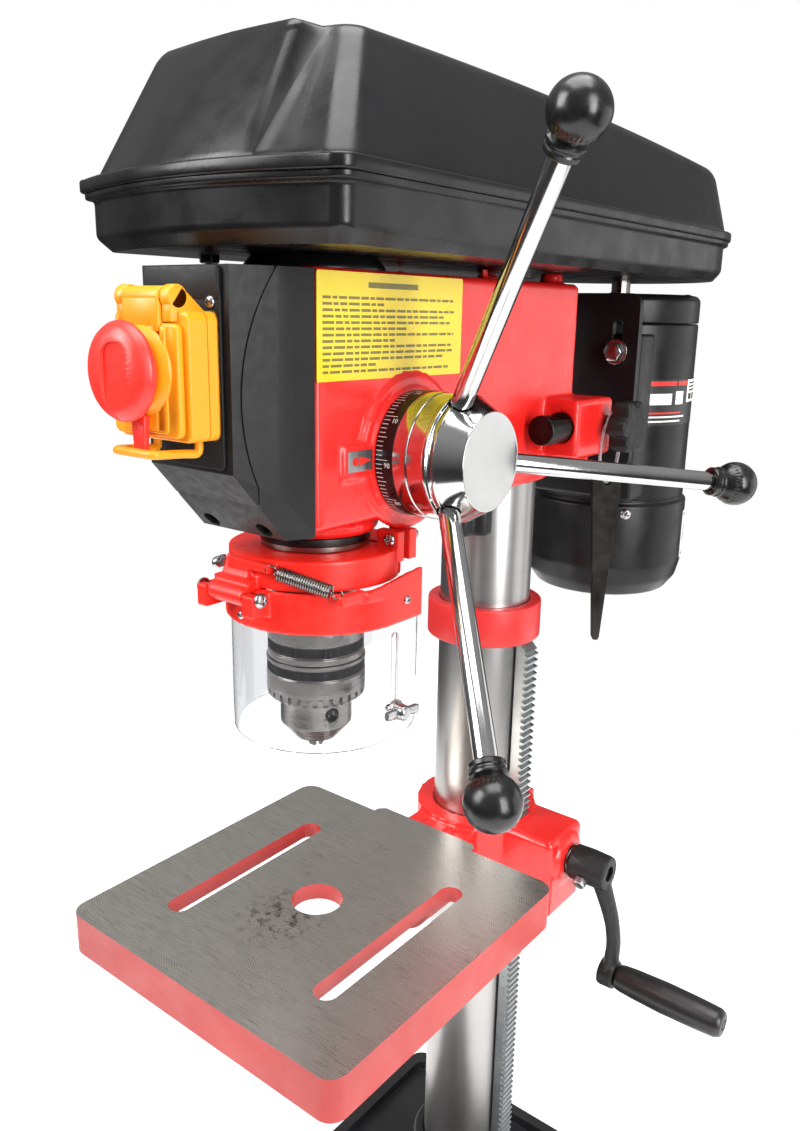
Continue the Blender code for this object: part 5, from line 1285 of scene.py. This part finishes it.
def make_chuck():
    """The keyed chuck: body, geared sleeve, two knurled bands and three jaws."""
    low, high = span("chuck_body")
    top, nose = high.z, low.z
    split = span("chuck_sleeve")[1].z + 0.3
    body = turn("chuck_turned_body", [(13, nose + 5.4), (10.3, nose + 1.4), (10.3, nose), (11.5, nose),
                                      (19.5, nose + 9.4), (19.5, split), (26, split), (26, 519.2),
                                      (25.2, 519.6), (25.2, 525.6), (26, 526), (26, top - 3), (22.5, top),
                                      (10.3, top), (10.3, 519), (13, 512)], STEEL, centre=SPINDLE, ease=0.5,
                sides=128)
    holes = []
    key_z, first_key = 485.5, -21
    for i in range(3):
        a = math.radians(first_key + 120 * i)
        start, end = (around(SPINDLE_Y, reach, a, key_z) for reach in (10, 30))
        holes.append(drill(4, start, end))
    cut(body, *holes)
    show(bevel(body, 0.35, 2), "spindle", "bright_steel", "chuck_body")
    show(knurled("chuck_upper_knurl", 25.8, 519.7, 525.5, 25.1, 110), "spindle", "dark_steel")
    s_low, s_high = span("chuck_sleeve")
    r = s_high.x
    sleeve = turn("chuck_ring", [(19.8, s_low.z + 4.4), (24.2, s_low.z + 4.4), (r, s_low.z + 5.4), (r, 507.2),
                                 (r - 0.8, 507.6), (r - 0.8, 513.4), (r, 513.8), (r, s_high.z),
                                 (19.8, s_high.z)], STEEL, centre=SPINDLE, ease=0.4, sides=144)
    teeth = []
    count, inner = 30, 21.0
    for i in range(count):
        a = 2 * math.pi * i / count
        rings = []
        for z, half, outer in ((s_low.z + 5.5, 1.9, r - 0.1), (s_low.z + 2.0, 1.5, r - 0.3),
                               (s_low.z + 0.1, 0.9, r - 2.2)):
            corners = [(inner, -half * inner / r), (outer, -half), (outer, half), (inner, half * inner / r)]
            rings.append([(x * math.cos(a) - y * math.sin(a), SPINDLE_Y + x * math.sin(a) + y * math.cos(a),
                           z) for x, y in corners])
        teeth.append(loft(f"tooth_{i}", rings, STEEL))
    show(gather("chuck_geared_ring", sleeve, *teeth), "chuck_sleeve", "bright_steel", "chuck_sleeve")
    show(knurled("chuck_lower_knurl", r - 0.3, 507.7, 513.3, r - 0.9, 110), "chuck_sleeve", "dark_steel")
    for jaw in ("jaw_1", "jaw_2", "jaw_3"):
        carried(jaw, f"chuck_{jaw}", jaw, "dark_steel", STEEL, 0.35, 2, 20)


def knurled(name, radius, low, high, inner, count):
    """A band of raised upright ribs, rounded off at its edges."""
    rows = []
    for z, share in ((low, 0.0), (low + 0.7, 1.0), (high - 0.7, 1.0), (high, 0.0)):
        row = []
        for i in range(count * 4):
            a = 2 * math.pi * i / (count * 4)
            reach = inner + (radius - inner) * share * (0.62 + 0.38 * math.cos(a * count))
            row.append(around(SPINDLE_Y, reach, a, z))
        rows.append(row)
    return loft(name, rows, KNURL, sharp=50)


# ---------------------------------------------------------------- guard

def u_line(radius, end):
    """A U open to the rear, round the chuck."""
    return [(radius, end), *arc(radius, (0, GUARD_Y), 0, -180, 64), (-radius, end)]


def make_guard():
    """The red collar on the quill, the band that flips up on its pin, and what they carry."""
    y, z = PIN_Y, PIN_Z
    collar = rod("collar_disc", 45, (0, SPINDLE_Y, COLLAR_BOTTOM), (0, SPINDLE_Y, COLLAR_TOP), sides=128)
    lug = slab((HINGE_LEFT, y, 553.5), (HINGE_RIGHT, -205, 566))
    gusset = prism("collar_gusset", [(y, 560), (-206, 560), (-206, 575.6), (-211.5, 575.6)], "X",
                   HINGE_LEFT + 3, 0)
    knuckle = rod("collar_knuckle", 5, (HINGE_LEFT, y, z), (HINGE_RIGHT, y, z))
    arm = slab((-14, -214.5, 571), (14.5, -205.5, 575.4))
    ears = [slab((31, k, 570), (45, k + 6, 586)) for k in (-153.5, -143.5)]
    whole = cast("guard_collar_moulding", 0.8, 2, 0.5, RED_PLASTIC, collar, lug, gusset, knuckle, arm, *ears)
    slit = slab((10, -147.5, 540), (60, -143.5, 600))
    bore = drill(25.3, (0, SPINDLE_Y, 540), (0, SPINDLE_Y, 600), sides=96)
    cut(whole, slit, bore)
    show(whole, "quill", "red_plastic", "guard_collar")
    left, right = HINGE_LEFT - 7.6, HINGE_RIGHT + 8.6
    screws = [cross_screw("pivot_screw_right", (right, y, z), RIGHT, 4.0, BRIGHT),
              cross_screw("pivot_screw_left", (left, y, z), LEFT, 4.0, BRIGHT),
              rod("pivot_pin", 2.4, (left - 0.4, y, z), (right + 0.4, y, z), BRIGHT, sides=24),
              rod("clamp_screw", 2, (40, -155, 581.5), (40, -136, 581.5), BRIGHT, sides=24),
              cross_screw("clamp_head", (40, -153.5, 581.5), FORWARD, 3.4, BRIGHT),
              cap_nut("clamp_nut", (40, -137.5, 581.5), (0, 1, 0), 6, BRIGHT),
              cap_nut("collar_front_nut", (-28, -203, 567.6), (-0.62, -0.78, 0), 7.0, BRIGHT)]
    show(gather("guard_screws", *screws), "quill", "zinc_steel")

    b_low, b_high = span("guard_band")
    outer = b_high.x
    band = prism("band_wall", u_line(outer, b_high.y), "Z", b_low.z, b_high.z, sharp=SHARP)
    cut(band, prism("band_inside", u_line(outer - 2.4, b_high.y + 10), "Z", b_low.z - 9, b_high.z + 9))
    cut_low, cut_high = HINGE_LEFT - 0.4, HINGE_RIGHT + 0.4
    ears = [slab((cut_low - 7, -223, 549), (cut_low, -205, 560.5)),
            slab((cut_high, -223, 549), (cut_high + 8, -207, 560.5))]
    ears.append(slab((44.5, -199.5, 557), (48.5, -182, 562.4)))
    rise = [(-182, 556), (b_high.y, 556), (b_high.y, 566), (-150, 565), (-170, 562.2), (-182, b_high.z)]
    ears.append(prism("band_rise", rise, "X", outer - 2.4, outer))
    guard = cast("guard_band_moulding", 0.8, 2, 0.5, RED_PLASTIC, band, *ears)
    notch = slab((cut_low, -240, 549.5), (cut_high, -200, 600))
    cut(guard, notch, drill(2.8, (-40, y, z), (40, y, z)))
    show(guard, "guard", "red_plastic", "guard_band")
    fixings = [cross_screw("band_screw_right", (outer - 0.2, -151, 551), RIGHT, 2.4, BRIGHT),
               cross_screw("band_screw_left", (0.2 - outer, -151, 551), LEFT, 2.4, BRIGHT),
               cross_screw("band_screw_front", (-8, b_low.y + 11.2, 545.2), FORWARD, 2.2, BRIGHT)]
    show(gather("guard_band_screws", *fixings), "guard", "zinc_steel")
    make_spring()
    make_shield()


def make_spring():
    """The guard's spring: a coil with an open hook at each end."""
    start, end = Vector((12.9, -214.3, 573.2)), Vector((46.5, -197.5, 562.8))
    along = (end - start).normalized()
    side = Vector((0, 0, 1))
    across = along.cross(side).normalized()
    side = across.cross(along)
    points = []
    turns, steps, coil_radius, wire_radius = 22, 16, 3.3, 0.5
    first, last = start + along * 6.5, end - along * 5.5
    for i in range(turns * steps + 1):
        a = 2 * math.pi * i / steps
        t = i / (turns * steps)
        points.append(first.lerp(last, t) + (side * math.cos(a) + across * math.sin(a)) * coil_radius)
    hook, tail = [], []
    for i in range(11):
        a = math.radians(210 - 24 * i)
        hook.append(start + along * (2.4 + 2.6 * math.cos(a)) + side * (2.6 * math.sin(a)))
    for i in range(11):
        a = math.radians(180 - 24 * i)
        tail.append(end - along * (2.2 - 2.4 * math.cos(a)) - side * (2.4 * math.sin(a)))
    wire = [*hook, *points, *tail]
    show(sweep("guard_spring_wire", wire, wire_radius, STEEL, sides=8), "quill", "zinc_steel", "guard_spring")


def make_shield():
    """The clear shield with its slot and the wing nut that holds it."""
    low, high = span("shield")
    outer = high.x
    shield = prism("chuck_shield", u_line(outer, high.y), "Z", low.z, high.z, CLEAR)
    cut(shield, prism("shield_inside", u_line(outer - 1.7, high.y + 10), "Z", low.z - 9, high.z + 9))
    y = -156.5    # the slot and the wing nut in it
    notch = slab((HINGE_LEFT - 9, -240, 547), (HINGE_RIGHT + 10, -200, 600))
    outline = rounded((y - 2.4, 488), (y + 2.4, 534), 2.39)
    round_off = 9
    corner = [(high.y + 1, low.z - 1), (high.y - round_off, low.z - 1),
              *arc(round_off, (high.y - round_off, low.z + round_off), 270, 90, 8),
              (high.y + 1, low.z + round_off)]
    cut(shield, notch, prism("shield_slot", outline, "X", 40, 60),
        prism("shield_corner", corner, "X", -60, 60))
    show(bevel(shield, 0.3, 2), "shield", "clear_plastic", "shield")
    z = 491.4
    x = span("wing_nut")[0].x
    boss = turn("wing_boss", [(0, 0), (5.4, 0), (5.4, 0.9), (4.8, 1.2), (4.2, 7), (3, 8.4), (0, 8.4)], BRIGHT,
                axis=RIGHT, centre=(x + 6.1, y, z), ease=0.5, sides=40)
    wings = []
    for side in SIDES:
        path = [(x + 10, y + side * 2, z + side * -0.2), (x + 10.6, y + side * 6, z + side * -0.8),
                (x + 11, y + side * 10, z + side * -1.4), (x + 11, y + side * 13, z + side * -1.8)]
        wings.append(sweep(f"wing_{side}", path, [2.2, 2.5, 3.0, 2.4], BRIGHT, sides=20, flat=0.62))
    screw = rod("wing_screw", 2, (x, y, z), (x + 12, y, z), BRIGHT, sides=24)
    washer = turn("wing_washer", [(2, 0), (5.9, 0), (5.9, 1), (2, 1)], BRIGHT, axis=RIGHT,
                  centre=(outer + 0.1, y, z), ease=0.2, sides=40)
    show(gather("shield_wing_nut", boss, *wings, screw, washer), "wing_nut", "zinc_steel", "wing_nut")


# ---------------------------------------------------------------- feed handle

def make_dial():
    """A black scale ring with white graduations and figures, and a plated barrel beside it."""
    x0, x1 = DIAL_LOW.x, DIAL_HIGH.x
    print_end = x0 + 10.6
    scale = turn("scale_ring", [(24, x0), (DIAL_R, x0), (DIAL_R, print_end), (24, print_end)], BLACK,
                 axis=RIGHT, centre=FEED, ease=0.4, sides=160)
    barrel = turn("scale_barrel", [(24, print_end), (DIAL_R - 0.15, print_end), (DIAL_R - 0.15, x1 - 0.5),
                                   (DIAL_R - 0.6, x1), (24, x1)], CHROME, axis=RIGHT, centre=FEED, ease=0.2,
                  sides=160)
    marks = []
    divisions, long_step, middle_step = 90, 10, 5
    start, half, proud = x0 + 0.5, 0.16, 0.14
    degrees = 360 / divisions
    for i in range(divisions):
        length = 7.4 if i % long_step == 0 else 5.2 if i % middle_step == 0 else 3.8
        mark = slab((start, -half, 0), (start + length, half, proud), PRINT_WHITE)
        marks.append(on_dial(mark, i * degrees))
    for i in range(divisions // long_step):
        figure = bpy.data.curves.new("figure", "FONT")
        figure.body = str((i * long_step) or divisions)
        figure.size = 3.6 * MM
        figure.extrude = 0.06 * MM
        figure.align_x = "LEFT"
        figure.align_y = "CENTER"
        figure.resolution_u = 2
        text = bpy.data.objects.new(f"figure_{i}", figure)
        bpy.context.scene.collection.objects.link(text)
        graph = bpy.context.evaluated_depsgraph_get()
        mesh = bpy.data.meshes.new_from_object(text.evaluated_get(graph))
        bpy.data.objects.remove(text, do_unlink=True)
        mesh.materials.clear()
        made = placed(f"figure_mesh_{i}", mesh, [PRINT_WHITE])
        mesh.transform(Matrix.Translation(((x0 + 5.6) * MM, -2.6 * MM, 0.08 * MM)))
        marks.append(on_dial(made, i * long_step * degrees))
    show(gather("dial_scale", scale, barrel, *marks), "dial", "black_paint", "dial_ring")


def on_dial(piece, degrees):
    """Wraps a flat print round the dial: X stays, Y becomes the arc, Z the height over the ring."""
    sunk = 0.04
    for vertex in piece.data.vertices:
        x, y, z = vertex.co
        a = math.radians(degrees) + y / (DIAL_R * MM)
        reach = DIAL_R * MM + z - sunk * MM
        vertex.co = (x, FEED_Y * MM - reach * math.cos(a), FEED_Z * MM + reach * math.sin(a))
    return piece


def make_feed():
    """The three-spoke feed handle, its shaft and the return spring's cup on the far side."""
    low, high = span("feed_hub")
    face = high.x
    start = DIAL_HIGH.x + 0.4
    hub = turn("hub_body", [(0, low.x), (23.6, low.x), (23.6, start), (DIAL_R - 0.25, start),
                            (DIAL_R - 0.15, start + 9.0), (DIAL_R + 0.5, start + 9.6),
                            (DIAL_R + 0.5, start + 11.4), (DIAL_R - 0.9, start + 12.0),
                            (DIAL_R - 1.0, start + 14.4), (DIAL_R - 0.4, start + 15.0),
                            (DIAL_R - 1.2, start + 16.0), (24.6, face - 1.0), (24.2, face), (21, face),
                            (0, face)], CHROME, axis=RIGHT, centre=FEED, sides=160, ease=0.35)
    disc = turn("hub_face", [(0, 0), (23.8, 0), (23.8, 0.25), (0, 0.3)], HUB_STEEL, axis=RIGHT,
                centre=(face - 0.3, FEED_Y, FEED_Z), ease=0.1, sides=128)
    bars, tools = [], []
    for number in (1, 2, 3):
        a = math.radians(-22 + (number - 1) * 120)
        out = Vector((0, math.sin(a), math.cos(a)))
        root = Vector((64, FEED_Y, FEED_Z)) + out * 10
        tip = Vector((155, FEED_Y, FEED_Z)) + out * 151
        along = (tip - root).normalized()
        tools.append(drill(5.9, root, root + along * 60))
        begin, end = root + along * 0.3, tip - along * 6.2
        bars.append(rod(f"handle_spoke_{number}", 5.2, begin, end, CHROME, ease=0.8))
        make_knob(number, tip, along, end)
    cut(hub, *tools)
    bevel(hub, 0.5, 3, 40)
    show(gather("feed_hub_body", hub, disc), "feed", "chrome_steel", "feed_hub")
    for number, bar in enumerate(bars, 1):
        show(bar, "feed", "chrome_steel", f"handle_rod_{number}")
    carried("feed_shaft", "feed_pinion_shaft", "feed", "bright_steel", STEEL, 0.2, 1)
    left = -span("return_spring_housing")[0].x
    cup = turn("return_spring_cup", [(0, left), (10, left), (11, left - 1.2), (21, left - 1.2),
                                     (26, left - 5), (26, 38.8), (9, 38.8), (9, 48.6), (0, 48.6)], BLACK,
               axis=LEFT, centre=FEED, ease=1.6)
    notches = []
    for i in range(6):
        a = math.radians(60 * i + 15)
        spot = Vector((0, 26.4 * math.cos(a), 26.4 * math.sin(a))) + Vector(FEED)
        notches.append(drill(2.2, spot + Vector((-38, 0, 0)), spot + Vector((-47, 0, 0))))
    cut(cup, *notches)
    show(bevel(cup, 0.3, 2), "frame", "black_paint", "return_spring_housing")


def make_knob(number, centre, along, rod_end):
    """A phenolic ball with a seam of fine ribs and a stepped collar."""
    radius, sides, step = 12.2, 144, 3.9
    neck = -radius + 2.2
    seam_low, seam_high, ribs, rib_depth = -33, -22, 36, 0.32
    collar = ((8.3, -10.9), (8.5, -11.8), (8.3, -12.5), (7.5, -13.2), (7.4, -14.0), (7.9, -14.6),
              (7.9, -16.4), (7.4, -17.0), (6.2, -17.2))
    turns = [2 * math.pi * k / sides for k in range(sides)]
    rows = [[(0, 0, radius)]]
    latitude = 90 - step
    while radius * math.sin(math.radians(latitude)) >= neck:
        reach, z = radius * math.cos(math.radians(latitude)), radius * math.sin(math.radians(latitude))
        deep = rib_depth if seam_low < latitude < seam_high else 0
        rows.append([around(0, reach - deep * (0.5 + 0.5 * math.cos(a * ribs)), a, z) for a in turns])
        latitude -= step
    rows += [[around(0, reach, a, z) for a in turns] for reach, z in collar]
    bm = bmesh.new()
    skin(bm, rows)
    bmesh.ops.transform(bm, matrix=turned_to(along, centre), verts=bm.verts)
    ball = finish(f"handle_ball_{number}", bm, PHENOLIC, sharp=40)
    cut(ball, drill(5.5, centre - along * 40, rod_end + along * 0.3))
    show(ball, "feed", "phenolic", f"handle_knob_{number}")


# ---------------------------------------------------------------- table, bracket and crank

def make_bracket():
    boss = rod("bracket_pad", 17.5, (72, 0, CRANK_Z), (76.2, 0, CRANK_Z), sides=64, ease=1)
    tool = drill(9.4, (60, 0, CRANK_Z), (90, 0, CRANK_Z), sides=48)
    cut(boss, tool)
    body = cast("bracket_casting", 1.15, 5, 0.34, RED, copy_of("table_bracket"), boss)
    show(roughen(body, 0.12, 5, 7.0), "lift", "red_paint", "table_bracket")
    carried("lift_gear", "lift_spur_gear", "lift_gear", "bright_steel", STEEL, 0.2, 1)


def make_crank():
    """The table's crank: worm shaft, rough cast arm, set bolt and turning grip."""
    low, high = span("crank_shaft")
    shaft = turn("worm_shaft", [(0, low.x), (6, low.x), (7.5, 43), (7.5, 58), (9, 58.5), (9, 79), (7, 79.5),
                                (7, high.x), (0, high.x)], STEEL, axis=RIGHT, centre=(0, 0, CRANK_Z),
                 ease=0.4)
    show(shaft, "crank", "bright_steel", "crank_shaft")
    start = span("crank_arm")[0].x
    hub = turn("crank_hub", [(0, start), (11.6, start), (12, start + 12), (11.2, 106), (0, 106)], axis=RIGHT,
               centre=(0, 0, CRANK_Z), ease=1.2)
    drop = CRANK_Z - GRIP_Z
    steps = 40
    line = smooth_line([(99, 0, CRANK_Z - 2), (103.5, 1.0, CRANK_Z - drop * 0.22),
                        (109, 1.8, CRANK_Z - drop * 0.45), (112, 1.6, CRANK_Z - drop * 0.68),
                        (112, 0.4, CRANK_Z - drop * 0.88), (111.5, 0, GRIP_Z)], steps)
    widths = [9.2 - 2.4 * math.sin(math.pi * i / steps) for i in range(steps + 1)]
    web = sweep("crank_web", line, widths, sides=20, flat=0.6, up=(0, 1, 0))
    eye = rod("crank_eye", 9.4, (106, 0, GRIP_Z), (117, 0, GRIP_Z), sides=64, ease=1)
    arm = cast("crank_arm_casting", 0.85, 3, 0.6, CRANK, hub, web, eye)
    bores = [drill(7.2, (70, 0, CRANK_Z), (104.6, 0, CRANK_Z)),
             drill(5.2, (103, 0, CRANK_Z), (110, 0, CRANK_Z)), drill(4.2, (100, 0, GRIP_Z), (120, 0, GRIP_Z))]
    roughen(arm, 0.16, 2.2, 3.0)
    cut(arm, *bores)
    show(arm, "crank", "crank_casting", "crank_arm")
    bolt_out = Vector((0, -0.88, -0.47)).normalized()
    bolt_spot = Vector((91, 0, CRANK_Z)) + bolt_out * 11.6
    show(hex_bolt("crank_set_bolt", bolt_spot, bolt_out, 8, 4.6, ZINC), "crank", "zinc_steel")
    g_low, g_high = span("crank_grip")
    end, hollow_end = g_high.x, g_high.x - 1.6
    grip = turn("crank_handle", [(0, g_low.x), (4, g_low.x), (4, 117.5), (7.8, 118), (8.6, 121), (9.3, 130),
                                 (10, 150), (9.7, 172), (9.1, end - 4), (7.2, end - 0.6), (3.5, end - 0.6),
                                 (3.3, hollow_end), (0, hollow_end)], GRIP, axis=RIGHT, centre=(0, 0, GRIP_Z),
                ease=1.2)
    pin = turn("crank_pin_end", [(0, 0), (2.6, 0), (2.4, 1.0), (0, 1.3)], DARK, axis=RIGHT,
               centre=(end - 1.7, 0, GRIP_Z), ease=0.3, sides=32)
    show(gather("crank_handle_grip", grip, pin), "crank_grip", "black_plastic", "crank_grip")


def make_table():
    """The slotted table, its ground face in its own material."""
    front, edge, top = TABLE_LOW.y, TABLE_HIGH.x, TABLE_HIGH.z
    back, boss_z = -65.5, 332
    plan = rounded((-edge, front), (edge, back), 10, 10)
    # the table's sides, tongue, boss and ribs take the red that is darkened with painted shade
    table = prism("table_casting", plan, "Z", top - 24, top, RED_ROUGH_SHADED, GROUND)
    wall = 8
    hollow = rounded((-edge + wall, front + wall), (edge - wall, back - wall), 6)
    cut(table, prism("table_hollow", hollow, "Z", 300, top - 10))
    tongue = prism("table_tongue", [(-40, -90), (-40, -62), (-36, -58), (36, -58), (40, -62), (40, -90)], "Z",
                   top - 22, top, RED_ROUGH_SHADED)
    disc = drill(28, (0, -92, boss_z), (0, -58, boss_z), RED_ROUGH_SHADED, sides=96)
    ribs = [slab((x - 3, -250, top - 20), (x + 3, -80, top - 5), RED_ROUGH_SHADED) for x in (-34, 34)]
    fuse(table, tongue, disc, *ribs)
    tools = [drill(15, (0, SPINDLE_Y, 300), (0, SPINDLE_Y, 400), sides=96),
             drill(8.3, (0, -79, boss_z), (0, -50, boss_z))]
    tools += [prism(f"table_slot_{s}", rounded((s * 57 - 7, -227), (s * 57 + 7, -105), 6.99, 12), "Z", 300,
                    400) for s in SIDES]
    cut(table, *tools)
    bevel(table, 0.7, 2)
    bake(table)
    for polygon in table.data.polygons:
        is_top = polygon.normal.z > 0.9 and polygon.center.z > (top - 0.4) * MM
        polygon.material_index = int(is_top)
    show(table, "table", "table_casting", "table")


def make_lever():
    """The lever that clamps the bracket to the column."""
    y, z = 48, 330
    screw = rod("lever_screw", 5, (-38, y, z), (16, y, z), ZINC)
    head = turn("lever_hub", [(0, 0), (8, 0), (9, 1.5), (9, 18), (7, 20.6), (0, 20.6)], DARK, axis=RIGHT,
                centre=(-36, y, z), ease=1)
    handle = sweep("lever_bar", [(-27, y, 328), (-32, y, 315), (-38, y, 299), (-44, y, 282)],
                   [4.5, 4.2, 3.8, 3.4], DARK, sides=32, up=(0, 1, 0))
    ball = turn("lever_knob", [(0, 10), (4, 9.2), (7, 7), (9, 3.6), (9.6, 0), (9, -3.6), (7, -7), (4.8, -9.4),
                               (4.6, -10), (0, -10)], PHENOLIC, axis=(-0.32, 0, -0.95),
                centre=(-45, y, 276.5), ease=1.5)
    show(gather("table_clamp_lever", screw, head, handle, ball), "lock_lever", "bright_steel",
         "table_lock_lever")


# ---------------------------------------------------------------- light, floor and camera

def make_room():
    """A pale floor, a world that is white to the camera and dimmer as a light, and four area lamps."""
    scene = bpy.context.scene
    bm = bmesh.new()
    skin(bm, [[(-900, -900, -0.4), (900, -900, -0.4)], [(-900, 1100, -0.4), (900, 1100, -0.4)]], ring=False,
         caps=False)
    pale = moulded("pale_floor", (0.8, 0.8, 0.8), (0.83, 0.83, 0.83), 0.8, 0.0, Emission_Color=(1, 1, 1, 1),
                   Emission_Strength=0.5, Specular_IOR_Level=0.0)
    finish("studio_floor", bm, pale)
    world = bpy.data.worlds.new("studio")
    world.use_nodes = True
    tree = world.node_tree
    glow = tree.nodes["Background"]
    glow.inputs["Color"].default_value = (1, 1, 1, 1)
    path = tree.nodes.new("ShaderNodeLightPath")
    place = tree.nodes.new("ShaderNodeTexCoord")
    split = tree.nodes.new("ShaderNodeSeparateXYZ")
    tree.links.new(place.outputs["Generated"], split.inputs["Vector"])
    sky = tree.nodes.new("ShaderNodeMapRange")
    for key, value in (("From Min", -0.25), ("From Max", 0.6), ("To Min", 0.05), ("To Max", 0.4)):
        sky.inputs[key].default_value = value
    tree.links.new(split.outputs["Z"], sky.inputs["Value"])
    seen = tree.nodes.new("ShaderNodeMath")
    seen.operation = "MAXIMUM"
    tree.links.new(path.outputs["Is Camera Ray"], seen.inputs[0])
    tree.links.new(path.outputs["Is Transmission Ray"], seen.inputs[1])
    power = tree.nodes.new("ShaderNodeMath")
    power.operation = "MAXIMUM"
    tree.links.new(seen.outputs["Value"], power.inputs[0])
    tree.links.new(sky.outputs["Result"], power.inputs[1])
    tree.links.new(power.outputs["Value"], glow.inputs["Strength"])
    scene.world = world
    target = Vector((0.0, -0.1, 0.6))
    lamps = (("key", (-0.9, -1.5, 1.5), 0.9, 1.2, 38), ("side", (1.7, -0.6, 1.0), 0.6, 1.4, 36),
             ("top", (0.1, -0.2, 2.0), 1.2, 1.2, 30), ("rim", (1.15, 1.1, 0.45), 1.6, 1.2, 8))
    for name, spot, width, height, watts in lamps:
        light = bpy.data.lights.new(name, "AREA")
        light.shape = "RECTANGLE"
        light.size = width
        light.size_y = height
        light.energy = watts
        made = bpy.data.objects.new(name, light)
        made.location = spot
        made.rotation_euler = (target - Vector(spot)).to_track_quat("-Z", "Y").to_euler()
        scene.collection.objects.link(made)
    scene.view_settings.view_transform = "Standard"


def make_camera():
    """The photograph's viewpoint, in metres and degrees: right of the machine and looking down."""
    spot = (0.3357, -0.5229, 0.6934)
    yaw, pitch, roll = (math.radians(angle) for angle in (-38.02, 14.84, -1.07))
    forward = Vector((math.sin(yaw) * math.cos(pitch), math.cos(yaw) * math.cos(pitch), -math.sin(pitch)))
    right = Vector((math.cos(yaw), -math.sin(yaw), 0))
    down = forward.cross(right)
    across = right * math.cos(roll) + down * math.sin(roll)
    below = -right * math.sin(roll) + down * math.cos(roll)
    data = bpy.data.cameras.new("camera")
    data.lens = 30.37
    data.sensor_width = 36
    data.sensor_height = 36
    data.sensor_fit = "VERTICAL"
    data.clip_start = 0.01
    camera = bpy.data.objects.new("camera", data)
    turned = Matrix((across, -below, -forward)).transposed().to_4x4()
    camera.matrix_world = Matrix.Translation(spot) @ turned
    bpy.context.scene.collection.objects.link(camera)
    bpy.context.scene.camera = camera


for make in (make_camera, make_room, make_base, make_column, make_rack, make_head, make_label,
             make_front_cover, make_switch, make_belt_cover, make_drive, make_motor, make_head_knobs,
             make_quill, make_chuck, make_guard, make_dial, make_feed, make_bracket, make_crank, make_table,
             make_lever):
    make()
